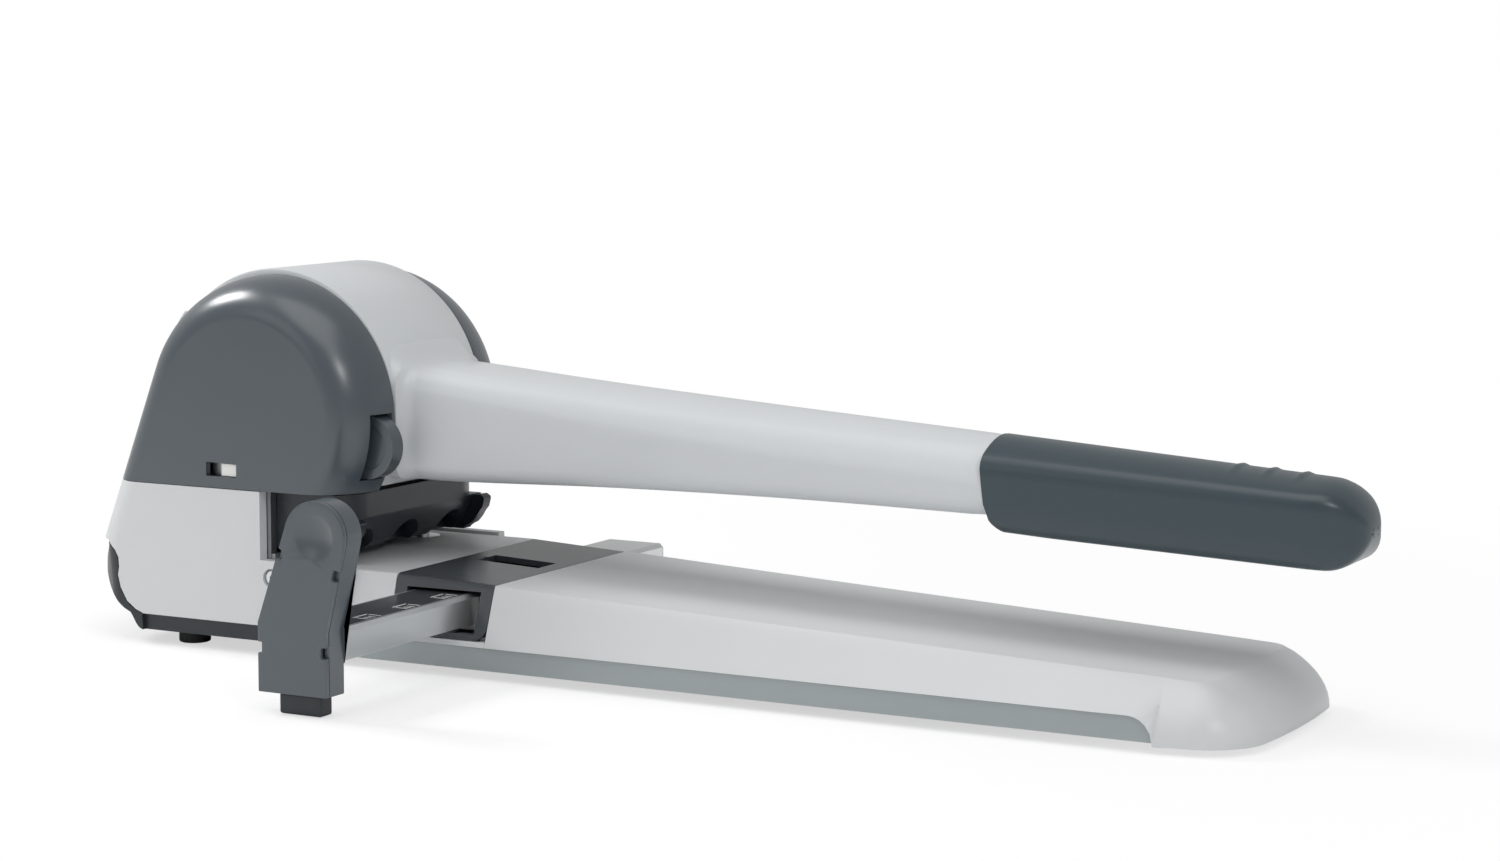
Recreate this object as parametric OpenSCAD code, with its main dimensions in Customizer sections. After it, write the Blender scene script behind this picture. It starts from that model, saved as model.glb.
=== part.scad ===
// Heavy duty two-hole paper punch with a long lever, a rack drive and a gauge bar.
// Millimetres, +Z up. The origin lies on the desk, midway between the two punches.
// The lever and the arm point to -Y, and the side stop is on the -X side.

/* [Punches] */
// Distance between the two punches
hole_spacing = 80; // [78:0.5:82]
// Radius of a punch pin
pin_r = 3; // [2.5:0.1:3.3]
// Distance from the punches to the back stop
edge_distance = 12; // [11:0.5:13]
// Height of the paper table above the desk
table_z = 41; // [40:0.25:42]
// Gap between the table and the lowered hold-down bar
rest_gap = 3.4; // [2.4:0.2:4.4]
// Rise of the hold-down bar
hold_rise = 11; // [9:0.5:12]

/* [Drive] */
// Gear module of the rack drive
gear_module = 2; // [1.95:0.05:2.05]
// Teeth of the full gear circle
gear_teeth = 26; // [25:1:27]
// Thickness of a sector gear
gear_t = 4.8; // [4.2:0.2:5.4]
// Total play between gear and rack teeth
backlash = 0.3; // [0.2:0.05:0.5]
// Largest lever angle
lever_angle = 62; // [50:1:63]
// Radius of the cross shaft
shaft_r = 8; // [7:0.5:9]
// Height of the cross shaft above the desk
axis_z = 104; // [103:0.5:105]

/* [Head] */
// Outer radius of the lever drum
drum_r = 62; // [61:0.5:63]
// Wall of the lever drum
drum_wall = 3.5; // [2.5:0.5:4]
// Outer radius of the caps
cap_r = 60.7; // [60:0.1:61.5]
// Wall of the caps
cap_wall = 3; // [2.5:0.25:3.5]
// Depth of the caps' soft edge, measured towards the shaft
cap_round = 18; // [15:1:19]
// Height of the seam between caps and side panels
seam_z = 72; // [71.5:0.5:73]
// Wall of the side panels
panel_wall = 5; // [4.5:0.25:5.5]
// Thickness of the steel side plates
plate_t = 4; // [3.5:0.25:4.5]
// Tilt of the head's rear face
rear_tilt = 21.3; // [20:0.5:23]

/* [Arm] */
// Half width of the arm's top at the table
arm_half = 56; // [55:0.5:57]
// Half width of the arm's top at the tip
tip_half = 46.5; // [44:0.5:48]
// Half width of the arm at its lower edge
arm_half_low = 63.7; // [63:0.1:66]
// Length of the arm from the punches to its tip
arm_len = 431; // [410:1:460]
// Height of the arm's top edge at the tip
tip_z = 25.6; // [25:0.2:30]
// Height of the shell's lower edge
shell_edge_z = 14; // [13.7:0.1:15]
// Wall of the arm shell
shell_wall = 2.5; // [2:0.25:3]
// Height of the feet under the arm
foot_h = 4.2; // [3.6:0.2:4.4]

/* [Gauge] */
// Width of the gauge bar
bar_w = 29.2; // [27:0.2:30]
// Height of the gauge bar
bar_h = 12.9; // [11.5:0.1:13.2]
// Height of the gauge bar's top above the desk
bar_top_z = 34.6; // [34:0.1:35]
// Distance from the middle to the side stop's inner face
stop_x = 148.5; // [130:0.5:165]
// Reach of the gauge bar on the far side
bar_reach = 107; // [95:1:120]
// Thickness of the side stop
stop_t = 12.5; // [10.5:0.5:15]
// Radius of the side stop's round head
stop_r = 14.2; // [13:0.2:15]

/* [Lever] */
// Length of the lever from the punches to its end
lever_len = 459; // [430:1:500]
// Length of the dark grip
grip_len = 154; // [135:1:170]
// Half width of the lever at the drum
lever_root_half = 29; // [27:0.5:31]
// Half width of the lever at the grip
lever_half = 22.5; // [20:0.5:26]

/* [Fits] */
// Gap between separate pieces
gap = 0.3; // [0.2:0.05:0.35]
// Radial clearance of a shaft, pin or screw in its hole
fit = 0.05; // [0.02:0.01:0.08]

/* [Hidden] */
$fn = 96;
hull_fn = 32;
over = 1;
slice = 0.1;
far = 400;

// Stack across the machine, from the middle outwards
pin_x = hole_spacing / 2;
drum_half = 34.3;
cap_x0 = drum_half + gap;
rack_side = 5.5;
rack_x0 = pin_x + rack_side;
side_play = 0.2;
gear_x0 = rack_x0 + side_play;
gear_x1 = gear_x0 + gear_t;
rack_x1 = gear_x1 + side_play;
plate_gap = 1.9;
plate_x0 = rack_x1 + plate_gap;
plate_x1 = plate_x0 + plate_t;
panel_gap = 0.4;
panel_x0 = plate_x1 + panel_gap;
head_half = panel_x0 + panel_wall;

// Shaft line and cap centre
axis_y = gear_module * gear_teeth / 2;
cap_back = 1.3;
cap_y = axis_y - cap_back;
cap_drop = 1;
cap_z = axis_z - cap_drop;

// Head below the seam
panel_low_z = 13.4;
panel_front_y = -30;
heel_r = 34;
heel_y = 80;
heel_z = 40.2;
boot_top_z = 44.5;
boot_wall = 3;
boot_edge_shares = [[0.57, 0.1], [0.45, 0], [0.4, -0.09], [0.39, -0.21], [0.41, -0.32],
    [0.37, -0.48], [0.27, -0.65], [0.13, -0.75], [0.02, -0.79]];
notch_y = 16;
notch_z = 42;
round_steps = 12;
plan_steps = 8;
panel_screw_y = 10.6;
panel_screw_z = 34.5;

// Base
floor_t = 2;
channel_step = 1.2;
channel_half = arm_half_low - channel_step;
channel_wall = 1.5;
channel_short = 37.3;
channel_end_y = channel_short - arm_len;
channel_rear_y = -20.3;
nose_r = 9.7;
nose_y = channel_end_y - gap + nose_r;
nose_z = shell_edge_z - nose_r;
pan_step = 2;
pan_half = head_half - pan_step;
pan_z = heel_z - heel_r;
pan_front_y = channel_rear_y + gap;
pan_edge_z = panel_low_z - gap;
base_plate_t = 3;
base_plate_z0 = pan_z + floor_t;
base_plate_z1 = base_plate_z0 + base_plate_t;
base_plate_y0 = -54;
base_plate_y1 = 70;
pad_r = 6;
pad_margin = 3;
pad_y = base_plate_y0 + pad_r + pad_margin;

// Feet
rear_foot_r = 7;
rear_foot_x = 46;
rear_foot_y = 64;
middle_foot_half = 30;
middle_foot_w = 16;
front_foot_half = 20;
front_foot_w = 12;

// Screws and pins
small_r = 1.5;
small_head_r = 3;
small_head_h = 1.8;
big_r = 2.5;
big_head_r = 4.5;
big_head_h = 2;
thread_len = 8;
hex_share = 0.9;

// Side plates
plate_clear = 1.2;
plate_r = cap_bore_at(plate_x1) - plate_clear;
plate_front_y = -28;
plate_rear_y = 78;
plate_low_z = base_plate_z1;
plate_table_z = table_z - shell_wall;
flange_x0 = 46.3;
flange_t = 3;
flange_l = 16;
flange_rear_y = 50;
flange_y_list = [0, flange_rear_y];
tie_r = 5;
tie_upper_y = 55;
tie_upper_z = 82;
tie_rear_y = 70;
tie_rear_z = 30;
tie_front_y = 30;
tie_front_z = 27;
tie_places = [[tie_upper_y, tie_upper_z], [tie_rear_y, tie_rear_z], [tie_front_y, tie_front_z]];

// Dies and back stop
die_r = 8;
die_h = 8;
die_low_z = table_z - die_h;
die_bore_r = 4.5;
die_block_z0 = 20;
die_block_half_y = 12;
die_screw_z = 27;
die_screw_bite = 5.5;
stop_plate_t = 2;
stop_plate_y0 = edge_distance;
stop_plate_y1 = stop_plate_y0 + stop_plate_t;

// Hold-down bar
hold_z = table_z + rest_gap;
hold_top_drop = 1;
hold_top_z = seam_z - hold_top_drop;
hold_plate_t = 7.6;
hold_wall = 4;
hold_half = plate_x0 - gap;
hold_end_t = 1.3;
hold_end_y = 19;
hold_end_rise = 7;
hold_end_z = hold_z + hold_end_rise;
hold_front_step = 0.5;
hold_front_y = cap_y - sqrt(pow(cap_r - cap_wall, 2) - pow(cap_z - seam_z, 2))
    + hold_front_step;
hold_rear_gap = 1;
hold_rear_y = stop_plate_y0 - hold_rear_gap;
hold_lip_y = -12;
hold_bend_rise = 15.6;
hold_bend_z = hold_z + hold_bend_rise;
lip_share = 0.42;
lip_low_share = 0.76;
ear_t = 6;
ear_z = seam_z - hold_rise - gap;
ear_reach = 5.6;
ear_shares = [[0.03, 0.97], [0.62, 1], [0.95, 0.93], [1, 0.87], [0.83, 0.64], [0.57, 0.54],
    [0.2, 0.34], [-0.2, 0.19], [-0.6, 0.12], [-0.9, 0.05], [-1.2, 0]];
arch_r = 10.5;
arch_step = 35;
arch_xs = [-arch_step, 0, arch_step];

// Punches and carrier
pin_reach = 3;
pin_low_z = table_z - pin_reach;
spring_solid = 11;
carrier_z0 = hold_z + hold_plate_t + spring_solid;
carrier_h = 10;
carrier_z1 = carrier_z0 + carrier_h;
carrier_y0 = -12;
carrier_y1 = 6;
pin_head_h = 3;
pin_head_step = 1.5;
pin_head_r = pin_r + pin_head_step;
bush_wall = 1.4;
bush_rise = 8;
spring_wire = 1.5;
spring_play = 0.4;
spring_in_r = pin_r + bush_wall + spring_play;
press_rise = axis_y * lever_angle * PI / 180;
bolt_x_place = 20;
bolt_y = -3;
bolt_head_h = 3;
bolt_play = 0.4;
bolt_z1 = carrier_z1 + press_rise - hold_rise + bolt_play;

// Rack and gear teeth
pitch_r = axis_y;
tooth_step = PI * gear_module;
tooth_half = tooth_step / 4 - backlash / 4;
pressure_angle = 20;
base_r = pitch_r * cos(pressure_angle);
gear_tip_r = pitch_r + gear_module;
root_share = 1.25;
gear_root_r = pitch_r - root_share * gear_module;
gear_first = -6;
gear_last = 2;
gear_hub_r = 13;
gear_hub_x0 = 35;
rack_first = -6;
rack_last = 0;
rack_back = 8;
rack_back_y = -root_share * gear_module - rack_back;
rack_rise = 8;
rack_z1 = axis_z + rack_rise;
guide_t = 3.7;
guide_half_h = 6;
guide_z0 = axis_z - guide_half_h;
guide_z1 = axis_z + guide_half_h;
flank_steps = 5;
rack_bite = 3.6;
rack_screw_inset = 3.2;
rack_screw_y = rack_back_y + rack_screw_inset;
rack_screw_z = carrier_z0 + carrier_h / 2;

// Shaft, bushes, hubs
shaft_play = 0.6;
shaft_half = head_half - cap_wall - shaft_play;
groove_w = 1;
groove_depth = 1;
clip_step = 2.5;
clip_r = shaft_r + clip_step;
bush_t = 3;
bush_r = shaft_r + bush_t;
collar_step = 2;
hub_r = 14;
hub_len = 8.3;
drive_pin_r = 2;
drive_pin_x = 40;

// Drum
hood_rear = 30;
hood_front = 209;
web_rear = 76;
web_front = 205;
web_t = 3.3;

// Lever lock
knob_r = 14;
knob_ahead = 53.8;
knob_drop = 12;
knob_y = axis_y - knob_ahead;
knob_z = axis_z - knob_drop;
knob_t = 8;
knob_x0 = 37;
knob_gap = 1;
knob_back_y = hold_front_y - knob_gap;
lock_travel = 3.5;
lock_t = 3.2;
lock_step = 1.5;
lock_x0 = knob_x0 + lock_step;
lock_low = 1.5;
lock_high = 3;
lock_z0 = axis_z - lock_low;
lock_z1 = axis_z + lock_high;
lock_hub_gap = 1;
lock_end_y = axis_y - gear_hub_r - lock_hub_gap;
lock_pin_r = 2;
lock_pin_ahead = 18;
lock_pin_rise = 1;
lock_pin_y = axis_y - lock_pin_ahead;
lock_pin_z = axis_z + lock_pin_rise;
lock_boss = 1.2;
lock_guide_r = 2;
lock_guide_y = -18;

// Rear cover and cap windows
cover_gap = 0.6;
cover_t = 2.4;
cover_top = 40;
flange_w = 2.5;
flange_deep = 5.6;
window_y0 = 28.2;
window_y1 = 44.2;
window_rise = 5;
window_h = 6;
window_z0 = seam_z + window_rise;
window_z1 = window_z0 + window_h;
clip_foot = 1;
panel_recess = 1;
clip_w = 8.5;

// Gauge bar and guide
bar_y1 = -58.8;
bar_y0 = bar_y1 - bar_w;
bar_z0 = bar_top_z - bar_h;
bar_wall = 2.2;
bar_chamfer = 1.6;
insert_y0 = -99;
insert_y1 = -51;
insert_z0 = 16.5;
insert_round = 6;
opening_y0 = -93;
opening_y1 = -57;
opening_z0 = 19;
opening_z1 = 36;
slot_half = 7.5;
slot_y0 = -91;
slot_y1 = -60;
guide_half = 50;
guide_wall = 3;
guide_step = 1.6;
guide_top_z = bar_top_z - guide_step;
spring_half = 16;
spring_strip = 0.6;
spring_bow = 1.2;
scale_t = 0.3;
scale_reach = 20;
scale_inset = 2;
scale_gap = 0.1;
plug_t = 1;
spring_end_gap = 2;
stop_z0 = 8.7;
stop_cover_t = 2.5;
stop_front_step = 0.4;
stop_rear_step = 3.1;
stop_y0 = bar_y0 - stop_front_step;
stop_y1 = bar_y1 + stop_rear_step;
stop_shoulder_z = 34.5;
stop_head_step = 4.7;
stop_head_y = bar_y0 + stop_head_step;
stop_shoulder_rise = 2;
stop_grip_low = 14;
stop_grip_high = 8;
stop_grip_front = 2;
stop_grip_rear = 5;
stop_head_z = 72.2;
stop_wall = 2;
dimple_r = 9.5;
dimple_deep = 1.2;
stop_grip_r = 2.2;
stop_foot_y0 = -84;
stop_foot_y1 = -64;

// Arm shell
arm_bend_y = -50;
tip_slope = 20;
tip_y = tip_slope - arm_len;
tip_low_z = 3;
tip_r = 26;
tip_shares = [[0.65, 0.54, 0.35], [1, 0.04, 0]];
arm_shares = [0, 0.15, 0.3, 0.45, 0.6, 0.75, 0.9];
arm_edge = 2;
boss_r = 5;
shell_screw_rear_y = -150;
shell_screw_step = 150;
shell_screw_ys = [shell_screw_rear_y, shell_screw_rear_y - shell_screw_step];

// Lever form: places along the lever, as shares of drum front to grip front
lever_y0 = -20;
grip_y0 = grip_len - lever_len;
lever_root_rise = 22.5;
lever_grip_rise = 4.8;
lever_low_drop = 28;
lever_z_root = axis_z + lever_root_rise;
lever_z_grip = axis_z + lever_grip_rise;
lever_z_low = axis_z - lever_low_drop;
lever_arch = 3.2;
ridge_drop = 9;
lever_round = 4;
lever_wall = 3;
lever_shares = [0, 0.12, 0.41, 0.71, 1];
drop_shares = [0.05, 0.15, 0.55, 1, 0.95];
arch_shares = [0.3, 0.1, 0.95, 1, 0.5];
crown_shares = [1, 0.75, 0.5, 0.25, 0];
fillet_r = 18;
fillet_share = 0.07;
fillet_sink = 0.2;
fillet_inset = 1;
web_step = 1;
grip_end_drop = 5.5;
grip_low_drop = 30.5;
grip_end_low_drop = 36.4;
grip_end_z = axis_z - grip_end_drop;
grip_low_z = axis_z - grip_low_drop;
grip_end_low_z = axis_z - grip_end_low_drop;
grip_step = 0.3;
grip_round = 14;
grip_nose = 9;
grip_shares = [[0, 0], [0.64, 0], [0.9, 0], [0.97, 0.35], [1, 1]];
grip_edge_shares = [[0, 1], [0.2, 0.75], [0, 0.25], [-1, 0]];
tongue_len = 110;
rib_r = 5;
rib_half = 9;
rib_rise = 1.1;
rib_step = 13;

// Chip tray
tray_half = 45.5;
tray_y0 = -14;
tray_play = 0.4;
tray_z0 = base_plate_z1 + tray_play;
tray_z1 = die_block_z0 - tray_play;
tray_wall = 1.8;
tray_y1 = 92;

// Radius of the caps' inner wall at a place across the machine
function cap_bore_at(x) = cap_r - cap_wall
    - cap_round * (1 - sqrt(1 - pow((x - cap_x0) / (head_half - cap_wall - cap_x0), 2)));

// Turns a profile drawn in Y and Z so that it runs along X
module along_x(x0, x1) {
    translate([x0, 0, 0]) rotate([90, 0, 90]) linear_extrude(x1 - x0) children();
}

module box(low, high) {
    translate(low) cube(high - low);
}

module rod_x(x0, x1, y, z, r) {
    translate([x0, y, z]) rotate([0, 90, 0]) cylinder(h = x1 - x0, r = r);
}

module rod_y(y0, y1, x, z, r) {
    translate([x, y0, z]) rotate([-90, 0, 0]) cylinder(h = y1 - y0, r = r);
}

module rod_z(z0, z1, x, y, r) {
    translate([x, y, z0]) cylinder(h = z1 - z0, r = r);
}

// Ring sector about an X axis at y, z; its profile is drawn as radius and place across,
// and its angles run from +Y towards +Z
module sector_x(y, z, a0, a1) {
    translate([0, y, z]) rotate([0, 90, 0]) rotate([0, 0, a0 + 90])
        rotate_extrude(angle = a1 - a0) children();
}

module both_sides() {
    children();
    mirror([1, 0, 0]) children();
}

// Screw whose head's top lies at zero and whose shank runs down
module screw(r, head_r, head_h, length) {
    difference() {
        union() {
            rod_z(-length, 0, 0, 0, r);
            rod_z(-head_h, 0, 0, 0, head_r);
        }
        translate([0, 0, -head_h / 2]) cylinder(h = head_h, r = r * hex_share, $fn = 6);
    }
}

// Screw running inwards from the +X side, with its head's face at x
module screw_x(x, y, z, r, head_r, head_h, length) {
    translate([x, y, z]) rotate([0, 90, 0]) screw(r, head_r, head_h, length);
}

module screw_x_hole(x, y, z, r, head_r, head_h, length) {
    rod_x(x - length, x + over, y, z, r + fit);
    rod_x(x - head_h, x + over, y, z, head_r + fit);
}

// Half profile of the head, as distance from the cap centre and place across
function head_profile(inset) =
    let (r = cap_r - inset, half = head_half - inset, wide = half - cap_x0)
    concat([[0, 0], [r, 0]],
        [for (i = [0 : round_steps])
            let (a = 90 * i / round_steps)
            [r - cap_round * (1 - cos(a)), cap_x0 + wide * sin(a)]],
        [[0, half]]);

module head_round(inset) {
    sector_x(cap_y, cap_z, rear_tilt, rear_tilt + 270) polygon(head_profile(inset));
}

module head_rear(inset) {
    translate([0, cap_y, cap_z]) rotate([rear_tilt, 0, 0]) rotate([180, 0, 90])
        linear_extrude(axis_z + heel_r) polygon(head_profile(inset));
}

module heel_profile(inset, front_y) {
    low = heel_z - heel_r + inset;
    translate([front_y, low]) square([heel_y - front_y, axis_z]);
    translate([heel_y, heel_z]) circle(r = heel_r - inset);
    translate([heel_y, heel_z]) square([heel_r, axis_z]);
}

// Right half of the lower head: tilted rear with soft corners, heel and front block
module lower_form(inset, front_y) {
    intersection() {
        union() {
            head_rear(inset);
            box([0, front_y, 0], [head_half - inset, heel_y - cap_round, axis_z]);
        }
        along_x(0, head_half) heel_profile(inset, front_y);
    }
}

// Everything behind the curved joint between side panel and boot, moved by shift
module boot_side(shift) {
    edge = [for (p = boot_edge_shares) [heel_y + p[0] * heel_r - shift, heel_z + p[1] * heel_r + shift]];
    last = edge[len(edge) - 1];
    polygon(concat(edge, [[last[0], -over], [far, -over], [far, boot_top_z + shift],
        [edge[0][0] + over, boot_top_z + shift]]));
}

module channel_side() {
    difference() {
        union() {
            translate([nose_y, foot_h]) square([channel_rear_y - nose_y, shell_edge_z - gap - foot_h]);
            translate([channel_end_y, foot_h]) square([nose_y - channel_end_y, nose_z - foot_h]);
            translate([nose_y, nose_z]) circle(r = nose_r - gap);
        }
        translate([panel_front_y - gap, pan_edge_z]) square([heel_y, axis_z]);
        translate([channel_end_y - nose_r, foot_h - 2 * nose_r]) square([far, 2 * nose_r]);
    }
}

module base_channel() {
    color([0.64, 0.67, 0.67])
    difference() {
        union() {
            difference() {
                along_x(-channel_half, channel_half) channel_side();
                box([channel_wall - channel_half, channel_end_y + nose_r, foot_h + floor_t],
                    [channel_half - channel_wall, channel_rear_y + over, axis_z]);
            }
            both_sides() rod_z(foot_h, base_plate_z0, middle_foot_half, pad_y, pad_r);
        }
        both_sides() rod_z(0, axis_z, middle_foot_half, pad_y, small_r + fit);
        for (y = shell_screw_ys) rod_z(0, axis_z, 0, y, small_r + fit);
    }
}

module base_pan() {
    color([0.2, 0.22, 0.24])
    difference() {
        union() {
            both_sides() difference() {
                intersection() {
                    lower_form(0, pan_front_y);
                    along_x(-over, head_half) boot_side(0);
                }
                lower_form(boot_wall, pan_front_y);
            }
            difference() {
                box([-pan_half, pan_front_y, pan_z], [pan_half, heel_y + over, pan_edge_z]);
                box([floor_t - pan_half, pan_front_y + floor_t, base_plate_z0],
                    [pan_half - floor_t, heel_y + 2 * over, axis_z]);
                box([-plate_x1 - gap, pan_front_y - over, base_plate_z0],
                    [plate_x1 + gap, heel_y, axis_z]);
            }
        }
        box([-tray_half - 2 * tray_wall / 3, heel_y, tray_z0 - gap],
            [tray_half + 2 * tray_wall / 3, far, tray_z1 + gap]);
        for (y = flange_y_list) both_sides()
            rod_z(0, axis_z, (flange_x0 + plate_x0) / 2, y, small_r + fit);
    }
}

module base_plate() {
    color([0.55, 0.57, 0.6])
    difference() {
        box([-plate_x1, base_plate_y0, base_plate_z0], [plate_x1, base_plate_y1, base_plate_z1]);
        for (y = flange_y_list) both_sides()
            rod_z(0, axis_z, (flange_x0 + plate_x0) / 2, y, small_r + fit);
        both_sides() rod_z(0, axis_z, middle_foot_half, pad_y, small_r + fit);
    }
}

module base_screws() {
    color([0.75, 0.76, 0.78]) {
        for (y = flange_y_list) both_sides()
            translate([(flange_x0 + plate_x0) / 2, y, pan_z - small_head_h]) rotate([180, 0, 0])
                screw(small_r, small_head_r, small_head_h,
                    small_head_h + base_plate_z1 + flange_t - pan_z);
        both_sides() translate([middle_foot_half, pad_y, foot_h - small_head_h])
            rotate([180, 0, 0]) screw(small_r, small_head_r, small_head_h,
                small_head_h + base_plate_z1 - foot_h);
    }
}

module rear_feet() {
    color([0.1, 0.1, 0.11])
    both_sides() rod_z(0, pan_z, rear_foot_x, rear_foot_y, rear_foot_r);
}

module middle_foot() {
    color([0.1, 0.1, 0.11])
    box([-middle_foot_half, -middle_foot_w / 2, 0], [middle_foot_half, middle_foot_w / 2, pan_z]);
}

module front_foot() {
    color([0.1, 0.1, 0.11])
    box([-front_foot_half, channel_end_y + nose_r / 2, 0],
        [front_foot_half, channel_end_y + nose_r / 2 + front_foot_w, foot_h]);
}

// Share of the way from the table's front end to the tip
function arm_way(y) = (arm_bend_y - min(y, arm_bend_y)) / (arm_bend_y - tip_y);

// Height of the arm's top at y
function arm_top(y) = table_z + (tip_z - table_z) * arm_way(y);

// Points once round the arm's cross-section at y, as places across and heights
function arm_ring(y, inset, low_z) =
    let (z1 = arm_top(y) - inset, low_half = arm_half_low - inset,
        top_half = arm_half + (tip_half - arm_half) * arm_way(y) - inset,
        slope = (low_half - top_half) / (z1 - shell_edge_z),
        right = [[low_half, low_z], [low_half, shell_edge_z],
            [top_half + slope * arm_edge, z1 - arm_edge],
            [top_half + (slope - 1) * arm_edge / 4, z1 - arm_edge / 4], [top_half - arm_edge, z1]])
    concat(right, [for (i = [len(right) - 1 : -1 : 0]) [-right[i][0], right[i][1]]]);

// Slab of a profile drawn in X and Z, from y towards -Y
module slab_y(y, t) {
    translate([0, y, 0]) rotate([90, 0, 0]) linear_extrude(t) children();
}

// The arm from the back stop to y1, whose top slopes and narrows towards the tip
module arm_loft(y1, inset, low_z) {
    ys = concat([stop_plate_y1 + inset],
        [for (p = arm_shares) arm_bend_y + (y1 - arm_bend_y) * p / arm_shares[len(arm_shares) - 1]]);
    n = len(arm_ring(y1, inset, low_z));
    polyhedron(
        [for (y = ys) for (p = arm_ring(y, inset, low_z)) [p[0], y, p[1]]],
        concat([[for (j = [0 : n - 1]) j]],
            [[for (j = [n - 1 : -1 : 0]) (len(ys) - 1) * n + j]],
            [for (k = [0 : len(ys) - 2]) for (j = [0 : n - 1])
                let (a = k * n + j, b = k * n + (j + 1) % n, c = a + n, d = b + n)
                for (t = j < n / 2 ? [[a, c, b], [b, c, d]] : [[a, c, d], [a, d, b]]) t]));
}

// The arm's outer form, or with an inset the cavity of its shell
module arm_form(inset) {
    low_z = tip_low_z - (inset > 0 ? over : 0);
    y1 = arm_bend_y + (tip_y - arm_bend_y) * arm_shares[len(arm_shares) - 1];
    arm_loft(y1, inset, low_z);
    hull() {
        for (y = [y1, tip_y]) slab_y(y, slice) polygon(arm_ring(y, inset, low_z));
        for (p = tip_shares) both_sides()
            rod_z(low_z, tip_low_z + (tip_z - tip_low_z) * p[1] - inset,
                arm_half_low - tip_r - (arm_half_low - tip_half) * p[2],
                tip_y - tip_slope * p[0] + tip_r, tip_r - inset, $fn = hull_fn);
    }
}

// Space under the shell's lower edge, rounded at the arm's nose
module nose_space() {
    translate([nose_y, 0]) square([far + arm_len, shell_edge_z]);
    translate([nose_y - nose_r, 0]) square([nose_r + slice, nose_z]);
    translate([nose_y, nose_z]) circle(r = nose_r);
}

module arm_shell() {
    color([0.82, 0.83, 0.83])
    difference() {
        union() {
            difference() {
                arm_form(0);
                arm_form(shell_wall);
            }
            for (y = shell_screw_ys)
                rod_z(foot_h + floor_t, arm_top(y) - shell_wall / 2, 0, y, boss_r);
        }
        along_x(-arm_half_low - over, arm_half_low + over) nose_space();
        box([-arm_half_low - over, insert_y0, insert_z0 - gap],
            [arm_half_low + over, insert_y1, table_z + over]);
        box([-arm_half_low - over, panel_front_y - gap, 0],
            [arm_half_low + over, far, plate_table_z + 2 * fit]);
        both_sides() rod_z(0, axis_z, pin_x, 0, die_r + gap);
        for (y = shell_screw_ys) rod_z(0, foot_h + floor_t + 2 * thread_len, 0, y, small_r + fit);
    }
}

module shell_screws() {
    color([0.75, 0.76, 0.78])
    for (y = shell_screw_ys) translate([0, y, foot_h - small_head_h]) rotate([180, 0, 0])
        screw(small_r, small_head_r, small_head_h, small_head_h + floor_t + thread_len);
}

module insert_form(inset) {
    hull() for (y = [insert_y1 - gap - inset, insert_y0 + gap + inset + slice])
        slab_y(y, slice) polygon(arm_ring(y, inset, tip_low_z));
}

module insert_side() {
    low_y = insert_y0 + gap;
    translate([low_y, insert_z0 + insert_round])
        square([insert_y1 - gap - low_y, table_z]);
    translate([low_y + insert_round, insert_z0])
        square([insert_y1 - gap - low_y - insert_round, table_z]);
    translate([low_y + insert_round, insert_z0 + insert_round]) circle(r = insert_round);
}

module guide_insert() {
    color([0.27, 0.29, 0.31])
    difference() {
        intersection() {
            insert_form(0);
            along_x(-arm_half_low, arm_half_low) insert_side();
        }
        insert_form(shell_wall);
        box([shell_wall - arm_half_low, insert_y0 + gap + shell_wall, 0],
            [arm_half_low - shell_wall, insert_y1 - gap - shell_wall, insert_z0 + slice]);
        box([-far, opening_y0, opening_z0], [far, opening_y1, opening_z1]);
        box([-slot_half, slot_y0, opening_z0], [slot_half, slot_y1, table_z + over]);
        translate([0, slot_y1 - slice, opening_z1 - over]) rotate([0, 0, -30])
            cylinder(h = table_z, r = slot_half / 3, $fn = 3);
    }
}

module guide_profile() {
    difference() {
        translate([bar_y0 - gap - guide_wall, foot_h + floor_t])
            square([bar_w + 2 * gap + 2 * guide_wall, guide_top_z - foot_h - floor_t]);
        translate([bar_y0 - gap, bar_z0 - gap]) square([bar_w + 2 * gap, bar_h + 2 * over]);
        translate([bar_y0 - gap, 0]) square([bar_w + 2 * gap, bar_z0 - gap - guide_wall]);
    }
}

module bar_guide() {
    color([0.85, 0.85, 0.83])
    difference() {
        along_x(-guide_half, guide_half) guide_profile();
        box([-spring_half - spring_end_gap, bar_y0 - gap - spring_bow - spring_strip, bar_z0 + gap],
            [spring_half + spring_end_gap, bar_y0, guide_top_z + over]);
    }
}

// Bowed leaf that presses lightly on the bar's front face
module bar_spring() {
    bow_r = (pow(spring_half, 2) + pow(spring_bow, 2)) / 2 / spring_bow;
    color([0.8, 0.8, 0.82])
    intersection() {
        translate([0, bar_y0 - gap / 2 - bow_r, bar_z0 + 2 * gap]) difference() {
            cylinder(h = bar_h / 2, r = bow_r);
            translate([0, 0, -over]) cylinder(h = bar_h, r = bow_r - spring_strip);
        }
        box([-spring_half, bar_y0 - gap - spring_bow - spring_strip + scale_gap, 0],
            [spring_half, bar_y0, axis_z]);
    }
}

module bar_profile(inset) {
    y0 = bar_y0 + inset;
    y1 = bar_y1 - inset;
    z0 = bar_z0 + inset;
    z1 = bar_top_z - inset;
    c = bar_chamfer;
    polygon([[y0, z0], [y1, z0], [y1, z1 - c / 2], [y1 - c / 2, z1], [y0 + c, z1], [y0, z1 - c]]);
}

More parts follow.
